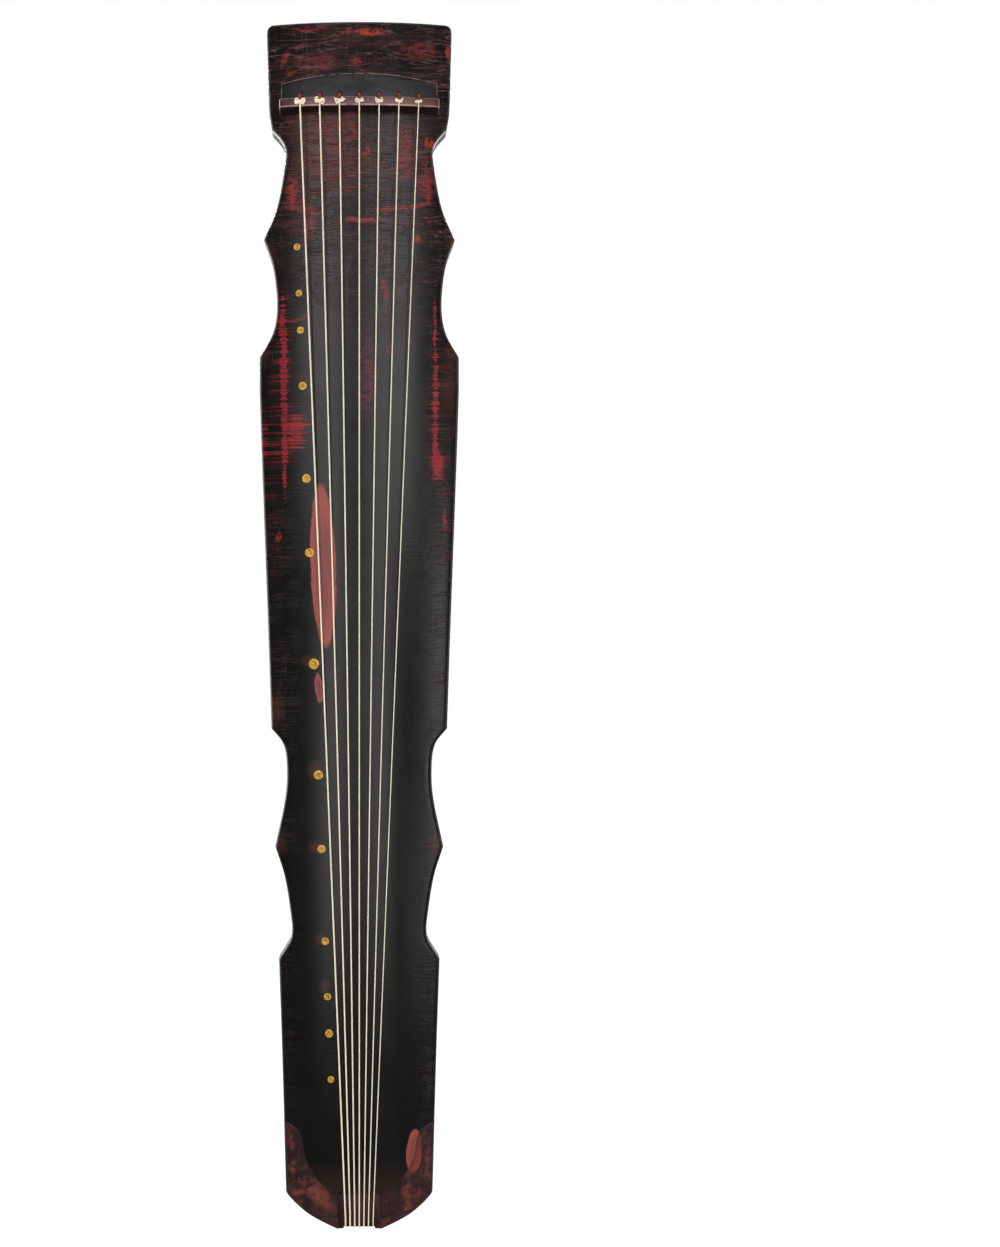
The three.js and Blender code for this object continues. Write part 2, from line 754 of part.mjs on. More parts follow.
// The turns of one string on its foot, from the point where it first touches the neck.
function footTurns(i, side, above, from) {
  const radius = stringRadius(i);
  const centre = at(footAcross(side), footStation, 0);
  const reach = footNeckRadius + fit + radius;
  const toTail = from.clone().sub(centre);
  const base = Math.atan2(toTail.y, toTail.x);
  const start = base - side * Math.acos(reach / Math.hypot(toTail.x, toTail.y));
  const taken = above.reduce((sum, other) => sum + Math.ceil(turnsOnFoot) * turnPitch(other), 0);
  const level = -footCollarHeight - fit - radius - taken;
  const steps = Math.round(turnsOnFoot * stepsPerTurn);
  const points = Array.from({ length: steps + 1 }, (_, k) => {
    const turn = k / stepsPerTurn;
    const angle = start - side * 2 * Math.PI * turn;
    const out = new THREE.Vector3(Math.cos(angle), Math.sin(angle), 0).multiplyScalar(reach);
    return centre.clone().add(out).setZ(level - turn * turnPitch(i));
  });
  const gap = leastGap(points, radius, stepsPerTurn / 2);
  console.log("string " + (i + 1) + ": least gap between its turns " + gap.toFixed(2) + " mm");
  const ahead = points[steps].clone().sub(points[steps - 1]).normalize();
  return [...points, points[steps].clone().addScaledVector(ahead, looseEnd)];
}

// Where a string lies on the bridge and on the nut.
function stringContacts(i) {
  const radius = stringRadius(i);
  const onBridge = stringAcross(i, stringPitchAtBridge);
  const onNut = stringAcross(i, stringPitchAtNut);
  return {
    bridge: at(onBridge, bridgeContact, bridgeTopHeight(onBridge) + fit + radius),
    nut: at(onNut, nutContact, nutTopHeight() + fit + radius),
  };
}

// The strings that share a foot, and which of them are wound closer to the board than this one.
function footOf(i) {
  const onLeft = i < (stringCount + 1) / 2;
  const all = Array.from({ length: stringCount }, (_, k) => k);
  const above = all.filter((k) => (onLeft ? k < i : k > i));
  return { side: onLeft ? -1 : 1, above };
}

function string(i) {
  const radius = stringRadius(i);
  const { bridge: first, nut: last } = stringContacts(i);
  const { side, above } = footOf(i);
  const clear = fit + radius;
  const wall = bodyLength - notchDepth + clear;
  const under = -gumRestProud - clear;
  const underNut = at(last.x, nutContact, under);
  const leave = Math.asin((wall - nutContact) / (nutReach + clear));
  const overNut = Array.from({ length: nutSteps }, (_, k) => {
    const [station, height] = nutTurn((leave * k) / (nutSteps - 1), clear);
    return at(last.x, station, height);
  });
  const turns = footTurns(i, side, above, underNut);
  const aroundEnd = roundedRoute([overNut.pop(), at(last.x, wall, under), underNut, turns[0]], stringBend, bendSteps);
  const knotCentre = at(first.x, bridgeStart + bridgeLean + bridgeTop / 2, first.z + radius + knotRadius / 2);
  const wound = [knotCentre, first, ...overNut, ...aroundEnd.slice(0, -1), ...turns];
  return join(tube(wound, radius, stringSides), knot(knotCentre));
}

// The fly-head knot: a bow across the string, narrow in the middle.
function knot(centre) {
  const last = knotRadiusShares.length - 1;
  const points = knotRadiusShares.map((_, k) => {
    const share = (2 * k) / last - 1;
    return centre.clone().add(new THREE.Vector3(share * knotHalfWidth, 0, 0));
  });
  return tube(points, knotRadiusShares.map((share) => share * knotRadius), knotSides);
}

// How far apart the cords and tassels hang: close together above, spreading as the tassels swell.
function spreadAt(station) {
  const share = Math.min(Math.max((station - spreadStart) / (spreadEnd - spreadStart), 0), 1);
  return bundlePitch + (tasselPitch - bundlePitch) * share * share * (3 - 2 * share);
}

// A cord's or a tassel's place in the bundle: four lie in the layer next to the back, three in the outer one.
function bundlePlace(i, station) {
  const pitch = spreadAt(station);
  const across = bundleAcross + stringAcross(i, pitch) / 2;
  const layerGap = (bundleFrontLayer - bundleBackLayer) * (pitch / bundlePitch);
  const front = bundleFrontLayer - (pitch - bundlePitch) / 2;
  return at(across, station, i % 2 === 1 ? front - layerGap : front);
}

// A cord's corners: from the knot over the bridge, down the slanting hole and through the peg.
function heldCorners(i) {
  const across = stringAcross(i, stringPitchAtBridge);
  const clear = fit + cordRadius;
  const top = bridgeTopHeight(across);
  const edge = bridgeStart - clear;
  const pegTop = bottomThickness - pegStripThickness - fit;
  return [
    at(across, bridgeStart + bridgeLean + bridgeTop / 2 - knotRadius - fit, top + clear),
    at(across, edge + bridgeLean, top + clear),
    at(across, edge, top - bridgeHeight / 2),
    at(across, stringHoleStation, topHeight(across, stringHoleStation)),
    at(across, pegPoolStation, pegTop),
    at(across, pegPoolStation, pegTop - pegLength),
  ];
}

// The rest of its corners: out of the peg's end, aside to the bundle, and down behind the shoulder.
function freeCorners(i) {
  const pegEnd = heldCorners(i).pop();
  const bend = pegEnd.clone().setZ(pegEnd.z - pegToBend);
  return [pegEnd, bend, bundlePlace(i, gatherStation + gatherStep * i), bundlePlace(i, cordEndStations[i])];
}

function cord(i) {
  const held = roundedRoute(heldCorners(i), heldBend, 1);
  const free = roundedRoute(freeCorners(i), freeBend, freeSteps);
  return tube([...held, ...free.slice(1)], cordRadius, cordSides);
}

// A tassel hangs on from the end of its cord, swelling to fill its place in the bundle.
function tassel(i) {
  const start = cordEndStations[i] + fit;
  const length = tasselEndStations[i] - start;
  const stations = Array.from({ length: tasselRings + 1 }, (_, k) => start + (length * k) / tasselRings);
  const radii = stations.map((station) => (spreadAt(station) - fit) / 2);
  return tube(stations.map((station) => bundlePlace(i, station)), radii, tasselSides);
}

// Assembly.
const guqin = new THREE.Group();
guqin.rotation.x = Math.PI / 2;

function addPiece(name, geometry, material) {
  const mesh = new THREE.Mesh(geometry, material);
  mesh.name = name;
  guqin.add(mesh);
}

addPiece("top_board", topBoard(), lacquer);
addPiece("bottom_board", bottomBoard(), lacquer);
addPiece("bridge", bridge(), hardwood);
addPiece("string_hole_strip", stringHoleStrip(), hardwood);
addPiece("peg_pool_strip", pegPoolStrip(), bareWood);
addPiece("nut", nut(), hardwood);
addPiece("gum_rest", gumRest(), hardwood);
addPiece("heaven_post", post(0), bareWood);
addPiece("earth_post", post(1), bareWood);
for (const [word, side] of [["left", -1], ["right", 1]]) {
  addPiece(word + "_crown", crown(side), redLacquer);
  addPiece(word + "_goose_foot", gooseFoot(side), hardwood);
  addPiece(word + "_peg_guard", pegGuard(side), hardwood);
}
studStringShares.forEach((_, k) => {
  addPiece("stud_" + (k + 1), stud(k, studPlace(k).radius, -studThickness, inlayProud), gold);
});
for (let i = 0; i < stringCount; i += 1) {
  addPiece("string_" + (i + 1), string(i), silk);
  addPiece("peg_" + (i + 1), peg(i), hardwood);
  addPiece("cord_" + (i + 1), cord(i), cordSilk);
  addPiece("tassel_" + (i + 1), tassel(i), cordSilk);
}

export default guqin;
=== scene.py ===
# A guqin, a long lacquered zither, hung head up and seen from the front.
# Its shapes are drawn in millimetres in bench coordinates: across the board, along it from the head end,
# and up from the flat back. place() turns them into metres in the model's own frame.
import random
from math import acos, asin, atan2, ceil, cos, exp, hypot, pi, radians, sin, sqrt, tan

import bpy
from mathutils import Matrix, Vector


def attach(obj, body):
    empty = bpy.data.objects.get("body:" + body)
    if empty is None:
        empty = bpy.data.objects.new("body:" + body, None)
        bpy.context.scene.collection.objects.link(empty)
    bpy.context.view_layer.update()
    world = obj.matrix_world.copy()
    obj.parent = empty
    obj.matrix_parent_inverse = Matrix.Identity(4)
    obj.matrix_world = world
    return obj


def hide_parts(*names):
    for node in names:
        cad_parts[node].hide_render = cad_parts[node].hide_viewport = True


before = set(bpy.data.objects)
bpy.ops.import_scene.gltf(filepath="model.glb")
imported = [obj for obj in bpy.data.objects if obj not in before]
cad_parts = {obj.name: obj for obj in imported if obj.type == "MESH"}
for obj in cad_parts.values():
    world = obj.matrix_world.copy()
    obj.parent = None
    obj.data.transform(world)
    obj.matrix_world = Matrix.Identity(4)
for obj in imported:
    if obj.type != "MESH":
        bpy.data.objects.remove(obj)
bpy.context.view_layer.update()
ROOT = "instrument"
MM = 0.001

# The photograph and its camera, and where the front and the back stand in it.
PHOTO_HEIGHT = 1247
MM_PER_PIXEL = 1.0024
CAMERA_DISTANCE = 2.03
CAMERA_HEIGHT = -0.1352
SENSOR = 36
VIEW_HEIGHT_AT_TWO_METRES = 1.2595
CENTRE_SHIFT_PIXELS = 140.7
MID_STATION = 607.75
FRONT_COLUMN, FRONT_LEAN, FRONT_ROW = 357.3, 3.9, 625.75
BACK_COLUMN, BACK_ROW, BACK_MM_PER_PIXEL = 642, 626, 1.008
NECK_ROW, WAIST_ROW = 262, 760

# The body, as in the solids.
BODY_LENGTH = 1216
SHOULDER = 100.6
CROWN = 50
ARCH_DROP = 16
ARCH_POWER = 2.2
ARRIS = 4
BOTTOM = 9
SEAM = 9.15
LOWER_ROUND = 3
DRAGON_POOL, DRAGON_RADIUS = 504.03, 33.7
PHOENIX_POOL, PHOENIX_RADIUS = 1004.05, 27.1
POOL_LIP, JUST_BELOW = 0.9, 0.001
HOOK = DRAGON_POOL - DRAGON_RADIUS
HOLLOW_START, HOLLOW_END = 150, 1120
ROOF, WALL = 13, 14
ABSORBER_DROP, ABSORBER_REACH = 5, 60
HEAD_BLOCK_END = 64
SCOOP_DEPTH, SCOOP_HALF = 13, 68
ROW_STEP, NEAR = 3, 0.01
HEAD_ROWS = [0.15, 0.5, 1, 1.6, 2.4, 3.2, ARRIS, 5, 7]
OUTLINE_SHARES = [
    [(0, 0.869), (0.0017, 0.912), (0.0047, 0.928), (0.0156, 0.928), (0.0748, 0.903), (0.0888, 0.876)],
    [(0.0888, 0.876), (0.097, 0.788), (0.1044, 0.742), (0.1127, 0.735), (0.1546, 0.827), (0.1799, 0.958)],
    [(0.1799, 0.958), (0.1998, 0.873), (0.2226, 0.83), (0.2385, 0.824), (0.2508, 0.843), (0.2615, 0.886),
     (0.2771, 1)],
    [(0.2771, 1), (0.3125, 0.998), (0.5033, 0.915), (0.5851, 0.882)],
    [(0.5851, 0.882), (0.597, 0.766), (0.6127, 0.728), (0.6398, 0.738), (0.6831, 0.844)],
    [(0.6831, 0.844), (0.7085, 0.747), (0.7442, 0.679), (0.7533, 0.675), (0.7607, 0.692), (0.7766, 0.807)],
    [(0.7766, 0.807), (0.8479, 0.778), (0.9701, 0.736)],
    [(0.9701, 0.736), (0.9731, 0.718), (0.9817, 0.614), (0.99, 0.474), (1, 0.218)],
]
CROWN_SHARES = [
    (0, 0.8), (0.05, 0.92), (0.07, 0.96), (0.115, 0.99), (0.27, 1), (0.49, 0.95), (0.74, 0.85),
    (0.905, 0.78), (1, 0.73),
]

# Fittings, as in the solids.
FIT = 0.3
BRIDGE_START, BRIDGE_TOP, BRIDGE_FOOT, BRIDGE_LEAN = 81, 8, 12.5, 1
BRIDGE_HEIGHT, BRIDGE_HALF = 16.5, 79.98
BRIDGE_ROUND, BRIDGE_ARRIS, BRIDGE_SUNK, BRIDGE_LIP, BRIDGE_TAPER = 1.2, 1, 0.5, 0.5, 0.4
BRIDGE_HEAD_EDGE = BRIDGE_START + BRIDGE_LEAN
BRIDGE_TAIL_EDGE = BRIDGE_HEAD_EDGE + BRIDGE_TOP
BRIDGE_MIDDLE = BRIDGE_HEAD_EDGE + BRIDGE_TOP / 2
BRIDGE_CONTACT = BRIDGE_TAIL_EDGE - 1.5
STRIP_HALF, STRIP_START, STRIP_RISE, STRIP_PROUD = 78.48, 62.4, 8.7, 0.4
STRIP_END, STRIP_THICKNESS = BRIDGE_START + 4, 2
HOLE_STATION, HOLE_RADIUS, HOLE_PAST = 75, 2.5, 6
POOL_STATION, POOL_HALF_WIDTH, POOL_HALF_HEIGHT = 84, 69.1, 11
PEG_STRIP_FACE = 4
STRINGS = 7
PITCH_AT_BRIDGE, PITCH_AT_NUT = 19.7, 4.62
FIRST_STRING, LAST_STRING = 0.8, 0.5
NUT_START, NUT_HALF, NUT_REACH, NUT_PROUD, NUT_ROUND, NUT_DEPTH = 1178, 21, 12.5, 3, 9, 14
NUT_SEAT_GAP, NUT_SOFT, NUT_SLOPE = 0.15, 0.8, [(1.2, 1), (3, 0)]
NUT_CONTACT = BODY_LENGTH - NUT_REACH
NOTCH_HALF, NOTCH_DEPTH = 15.8, 3.6
GUM_REST_START, GUM_REST_PROUD = 1176, 1.5
GUM_REST_ROWS = [(0, BOTTOM - 1), (0, 0.2), (0.05, -0.8), (0.6, -GUM_REST_PROUD)]
CROWN_PIECE_START, CROWN_PIECE_LENGTH = 1108, 108
CROWN_PIECE_PROUD, CROWN_PIECE_WRAP, CROWN_PIECE_ENDS = 0.12, 4, (0.6, 0.2)
CROWN_PIECE_GAP, CROWN_PIECE_LEAST, CROWN_PIECE_LIFT, CROWN_PIECE_THICKNESS = 0.1, 0.8, 0.35, 2
CROWN_EDGE_SHARES = [(0, 0.98), (0.083, 0.8), (0.333, 0.713), (0.51, 0.58), (0.6, 0.45), (0.65, 0.28)]
FOOT_ACROSS, FOOT_STATION = 54.02, 830.04
FOOT_HEIGHT = 28
FOOT_NECK = 8
GUARD_ACROSS, GUARD_STATION = 82.995, 18.5
CORD_RADIUS = 1.9
STUD_SHARES = [1 / 8, 1 / 6, 1 / 5, 1 / 4, 1 / 3, 2 / 5, 1 / 2, 3 / 5, 2 / 3, 3 / 4, 4 / 5, 5 / 6, 7 / 8]
STUD_RADIUS_SHARES = [0.67, 0.64, 0.67, 0.77, 0.83, 0.85, 1, 0.88, 0.77, 0.71, 0.69, 0.77, 0.65]
STUD_RADIUS, STUD_INSET, STUD_THICKNESS = 5.2, 3.8, 1.2

# Turned shapes as (radius, height) pairs. The stud's radii are shares of its own.
POINT = 0.01
PEG_BORE, PEG_END = 2.2, -15.3
FOOT_OUTLINE = [
    (POINT, -27.4), (6, -27.4), (10.4, -27.2), (10.9, -26.7), (11.3, -27.2), (11.6, -27.9),
    (12.2, -FOOT_HEIGHT), (12.6, -27.9), (12.9, -27.3), (13.3, -27.7), (13.9, -27.5), (14.4, -26.6),
    (14.4, -24.6), (13.8, -23.4), (11.5, -22.6), (9, -21.9), (8.2, -21), (FOOT_NECK, -19.5),
    (FOOT_NECK, -5), (8.6, -4), (10.6, -3.4), (12, -2.2), (12, 0.3),
]
GUARD_OUTLINE = [
    (POINT, -FOOT_HEIGHT), (3.6, -FOOT_HEIGHT), (5.4, -27.8), (6.5, -27), (7, -25.6), (6.9, -23.5),
    (6.2, -20), (5.6, -15), (5.6, -11), (6.1, -6), (6.8, -2.6), (7, -0.8), (7, 2),
]
PEG_OUTLINE = [
    (PEG_BORE, -14.2), (2.7, -14.9), (4.6, PEG_END), (5.7, -14.9), (6.4, -13.9), (6.2, -12.5), (5.2, -7),
    (4.4, -3.2), (4.2, -2.4), (4.2, 1.4), (5.6, 1.9), (6.2, 2.3), (6.2, 3.7), (PEG_BORE, 3.7),
    (PEG_BORE, -14.2),
]
STUD_OUTLINE_SHARES = [
    (1, -STUD_THICKNESS), (1, 0.1), (0.93, 0.3), (0.7, 0.36), (0.35, 0.3), (0.3, 0.2), (0.001, 0.2),
]
STUD_SIDES, STUD_MIDDLE_ROW = 40, 3

# The strings' way round the tail and their turns on the feet. Each group under the tail has its middle,
# the pitch of its strings and its middle string.
STRING_CLEARANCE = 0.05
TAIL_GROUPS = {-1: (-8.6, 3.6, 1.5), 1: (9.8, 3.4, 5)}
TAIL_GATHER, TAIL_BEND = 8, 3
TURNS, TURN_GAP, COLLAR, TURN_STEPS = 1.5, 0.55, 3.5, 48
LOOSE_ENDS, LONG_LOOSE_ENDS, LONG_ENDED = (5, 8), (15, 18), (1, 5)
# A knot's loops and ends: the tilt in degrees, the rest in times the string's radius.
KNOT_TILT, KNOT_WIDE, KNOT_DEEP, KNOT_ENDS = 24, (5.6, 7), (2.6, 4), (6, 9)

# The cords' free way, as in the solids, their twist and their tassels.
PEG_TO_BEND = 11
BUNDLE_ACROSS, BUNDLE_PITCH, FRONT_LAYER, BACK_LAYER = -60, 4.4, -7, -11.4
GATHER_STATION, GATHER_STEP = 125, 4.5
CORD_ENDS = [222, 212, 228, 208, 232, 214, 224]
SPREAD_START, SPREAD_END, TASSEL_PITCH = 200, 310, 8.8
TASSEL_ENDS = [500, 512, 494, 518, 505, 498, 509]
FREE_BEND, HELD_BEND = 7.8, 3
CORD_LAY, CORD_STEP = 15, 0.8
STRAND_OFF_SHARE, STRAND_SHARE = 0.37, 0.63
CORE_SHORT, CORE_STEPS = 60, 12
TASSEL_OVERLAP, TASSEL_THREADS = 8, 32
THREAD_RADIUS, THREAD_STEPS, THREAD_KINK, KINK_LENGTHS = 0.24, 96, 0.5, (5, 9)
RAGGED, MOST_RAGGED = 28, 90

# The angle that stays sharp, how far a cutter passes the surface, and how far faces lean to the back.
CREASE = 40
PAST = 5
SLANTED, NEARLY_FLAT, SEAM_SIDE = 0.15, 0.97, 0.1

# The studio, in metres and watts.
WORLD_LEVEL = 0.55
FLOOR_HEIGHT, FLOOR_RADII, FLOOR_SIDES = -0.95, (0.2, 1, 2, 4, 8), 64
FLOOR_SHADE, FLOOR_GLOW, GLOW_SHARE = 0.9, 1.15, 0.8
BAND_PLACE, BAND_GLOW = -2.3, 60
WHITE = (1, 1, 1, 1)


def place(across, station, height):
    return Vector((across * MM, -height * MM, (HOOK - station) * MM))


def clamped(value, low, high):
    return min(max(value, low), high)


def angles(count):
    return [2 * pi * k / count for k in range(count)]


def spread(half, steps):
    """Even steps from -half to half."""
    return [half * (2 * k / steps - 1) for k in range(steps + 1)]


def smooth_value(pairs, x):
    """A smooth curve through a list of (place, value) pairs."""
    last = len(pairs) - 1
    i = clamped(next((k for k, pair in enumerate(pairs) if pair[0] > x), last), 1, last) - 1

    def slope(k):
        a, b = pairs[max(k - 1, 0)], pairs[min(k + 1, last)]
        return (b[1] - a[1]) / (b[0] - a[0])

    (x0, y0), (x1, y1) = pairs[i], pairs[i + 1]
    run, rise = x1 - x0, y1 - y0
    t = clamped((x - x0) / run, 0, 1)
    bend0, bend1 = slope(i) * run - rise, rise - slope(i + 1) * run
    return y0 + t * rise + t * (1 - t) * ((1 - t) * bend0 + t * bend1)


def half_width(station):
    share = clamped(station / BODY_LENGTH, 0, 1)
    stretch = next(pairs for pairs in OUTLINE_SHARES if share <= pairs[-1][0])
    return SHOULDER * smooth_value(stretch, share)


def crown_at(station):
    return CROWN * smooth_value(CROWN_SHARES, station / BODY_LENGTH)


def arch(across):
    return ARCH_DROP * (abs(across) / SHOULDER) ** ARCH_POWER


def round_drop(past, radius):
    reach = clamped(past, 0, radius)
    return radius - sqrt(radius * radius - reach * reach)


def top_height(across, station):
    side = round_drop(abs(across) - (half_width(station) - ARRIS), ARRIS)
    end = round_drop(ARRIS - station, ARRIS)
    return crown_at(station) - arch(across) - max(side, end)


def string_across(i, pitch):
    return (i - (STRINGS - 1) / 2) * pitch


def string_radius(i):
    return FIRST_STRING + (LAST_STRING - FIRST_STRING) * i / (STRINGS - 1)


def bridge_top(across):
    return top_height(across, BRIDGE_START) + BRIDGE_HEIGHT


def nut_top():
    return crown_at(NUT_CONTACT) + NUT_PROUD


# Shapes, each a list of points and a list of faces.
def loft(rings, caps=True):
    """A skin through rings of points."""
    count = len(rings[0])
    points = [p for ring in rings for p in ring]
    faces = []
    for r in range(1, len(rings)):
        for k in range(count):
            a, b = (r - 1) * count + k, (r - 1) * count + (k + 1) % count
            faces.append((a, b, b + count, a + count))
    if caps:
        faces.append(tuple(reversed(range(count))))
        faces.append(tuple(range((len(rings) - 1) * count, len(rings) * count)))
    return points, faces


def joined(parts):
    points, faces = [], []
    for more_points, more_faces in parts:
        start = len(points)
        points += more_points
        faces += [tuple(start + v for v in face) for face in more_faces]
    return points, faces


def ring_frames(points):
    """At each point of a route: two directions square to it that never twist."""
    last = len(points) - 1
    side = None
    frames = []
    for i in range(last + 1):
        ahead = (points[min(i + 1, last)] - points[max(i - 1, 0)]).normalized()
        if side is None:
            side = ahead.orthogonal().normalized()
        side = (side - ahead * side.dot(ahead)).normalized()
        frames.append((side, ahead.cross(side)))
    return frames


def tube(points, radius_at, sides):
    """A tube along a route, with a radius for each ring and angle."""
    rings = []
    for i, (point, (side, other)) in enumerate(zip(points, ring_frames(points))):
        ring = []
        for angle in angles(sides):
            r = radius_at(i, angle) * MM
            ring.append(point + side * (r * cos(angle)) + other * (r * sin(angle)))
        rings.append(ring)
    return loft(rings)


def turned(outline, across, station, sides, caps=True, on_top=False):
    """A turned shape from (radius, height) pairs, square to the back or standing on the arched top."""
    rings = []
    for radius, height in outline:
        ring = []
        for angle in angles(sides):
            x, s = across + radius * cos(angle), station - radius * sin(angle)
            ring.append(place(x, s, top_height(x, s) + height if on_top else height))
        rings.append(ring)
    return loft(rings, caps)


def box_part(left, right, start, end, low, high):
    corners = ((left, low), (right, low), (right, high), (left, high))
    return loft([[place(x, station, h) for x, h in corners] for station in (start, end)])


def drawn_in(outline, middle, first, second):
    """An outline with its points drawn in towards its middle, by one distance for each coordinate."""
    out = []
    for a, b in outline:
        to_a, to_b = a - middle[0], b - middle[1]
        long = hypot(to_a, to_b)
        out.append((a - to_a / long * first, b - to_b / long * second))
    return out


def mirrored(pairs):
    return [(-x, h) for x, h in reversed(pairs)]


# Routes.
def rounded_route(corners, bend, steps):
    """A route through corners, each rounded to a bend radius where its neighbours leave room for it."""
    last = len(corners) - 1
    points = [corners[0]]
    for i in range(1, last):
        before, after = corners[i - 1] - corners[i], corners[i + 1] - corners[i]
        room = min(before.length / (1 if i == 1 else 2), after.length / (1 if i == last - 1 else 2))
        half = before.angle(after) / 2
        reach = min(bend * MM / tan(half), room)
        before.normalize()
        after.normalize()
        start = corners[i] + before * reach
        centre = corners[i] + (before + after).normalized() * (reach / cos(half))
        spoke, axis = start - centre, after.cross(before).normalized()
        for k in range(steps + 1):
            angle = (pi - 2 * half) * k / steps
            points.append(centre + spoke * cos(angle) + axis.cross(spoke) * sin(angle))
    points.append(corners[last])
    return [p for i, p in enumerate(points) if i == 0 or (p - points[i - 1]).length > FIT / 2 * MM]


def spaced(points, step):
    """The same route with points at an even step along it."""
    lengths = [0]
    for a, b in zip(points, points[1:]):
        lengths.append(lengths[-1] + (b - a).length)
    count = max(2, round(lengths[-1] / (step * MM)))
    out, k = [], 0
    for n in range(count + 1):
        want = lengths[-1] * n / count
        while k < len(points) - 2 and lengths[k + 1] < want:
            k += 1
        share = (want - lengths[k]) / max(lengths[k + 1] - lengths[k], 1e-9)
        out.append(points[k].lerp(points[k + 1], min(share, 1)))
    return out


# Pieces.
def add_object(name, data):
    made = bpy.data.objects.new(name, data)
    bpy.context.scene.collection.objects.link(made)
    return made


def smooth(mesh, crease):
    mesh.shade_smooth()
    mesh.set_sharp_from_angle(angle=radians(crease))
    mesh.update()


def mesh_object(name, shape, materials, indices=None, crease=CREASE):
    points, faces = shape
    mesh = bpy.data.meshes.new(name)
    mesh.from_pydata([tuple(p) for p in points], [], faces)
    for material in materials:
        mesh.materials.append(material)
    if indices:
        mesh.polygons.foreach_set("material_index", indices)
    mesh.validate()
    smooth(mesh, crease)
    return add_object(name, mesh)


def cut(target, parts):
    """Takes shapes out of the target."""
    cutter = mesh_object("cutter", joined(parts), target.data.materials)
    change = target.modifiers.new("cut", "BOOLEAN")
    change.operation = "DIFFERENCE"
    change.solver = "EXACT"
    change.object = cutter
    bpy.context.view_layer.update()
    result = target.evaluated_get(bpy.context.evaluated_depsgraph_get())
    mesh = bpy.data.meshes.new_from_object(result)
    target.modifiers.clear()
    target.data = mesh
    smooth(mesh, CREASE)
    bpy.data.objects.remove(cutter)


def settle(made, node, body=ROOT):
    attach(made, body)
    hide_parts(node)
    return made


def piece(node, shape, materials, cuts=(), rule=None, body=ROOT, indices=None, crease=CREASE):
    """A fine mesh in place of the node: shaped, cut, and painted by a rule where it has one."""
    made = mesh_object(node + "_fine", shape, materials, indices, crease)
    for parts in cuts:
        cut(made, parts)
    if rule:
        for face in made.data.polygons:
            centre = face.center
            paint = rule(centre.x / MM, HOOK - centre.z / MM, face.normal.y)
            face.material_index = materials.index(paint)
    settle(made, node, body)


# Colours are given as the eye reads them, 0 to 255.
def colour(red, green, blue):
    def linear(value):
        share = value / 255
        return share / 12.92 if share <= 0.04045 else ((share + 0.055) / 1.055) ** 2.4

    return (linear(red), linear(green), linear(blue), 1)


class Nodes:
    """A node tree, built up by small steps."""

    def __init__(self, owner):
        owner.use_nodes = True
        self.tree = owner.node_tree

    def feed(self, socket, value):
        if hasattr(value, "is_output"):
            self.tree.links.new(value, socket)
        else:
            socket.default_value = value

    def node(self, kind, feeds=None, **settings):
        """The outputs of a new node, with values or other nodes' outputs fed into it."""
        made = self.tree.nodes.new("ShaderNode" + kind)
        for name, value in settings.items():
            setattr(made, name, value)
        for name, value in (feeds or {}).items():
            self.feed(made.inputs[name], value)
        return made.outputs

    def math(self, operation, *values):
        return self.node("Math", dict(enumerate(values)), operation=operation)[0]

    def chain(self, operation, values):
        out = values[0] if values else 0.0
        for value in values[1:]:
            out = self.math(operation, out, value)
        return out

    def times(self, *values):
        return self.chain("MULTIPLY", values)

    def plus(self, *values):
        return self.chain("ADD", values)

    def most(self, *values):
        return self.chain("MAXIMUM", values)

    def minus(self, a, b):
        return self.math("SUBTRACT", a, b)

    def size(self, value):
        return self.math("ABSOLUTE", value)

    def scaled(self, value, by, start):
        return self.math("MULTIPLY_ADD", value, by, start)

    def mix(self, share, a, b):
        return self.node("Mix", {0: share, 6: a, 7: b}, data_type="RGBA")[2]

    def seen_share(self):
        """1 for rays that should see the white background: from the camera, a reflection or glass."""
        path = self.node("LightPath")
        kinds = ("Is Camera Ray", "Is Glossy Ray", "Is Transmission Ray")
        return self.most(*(path[kind] for kind in kinds))


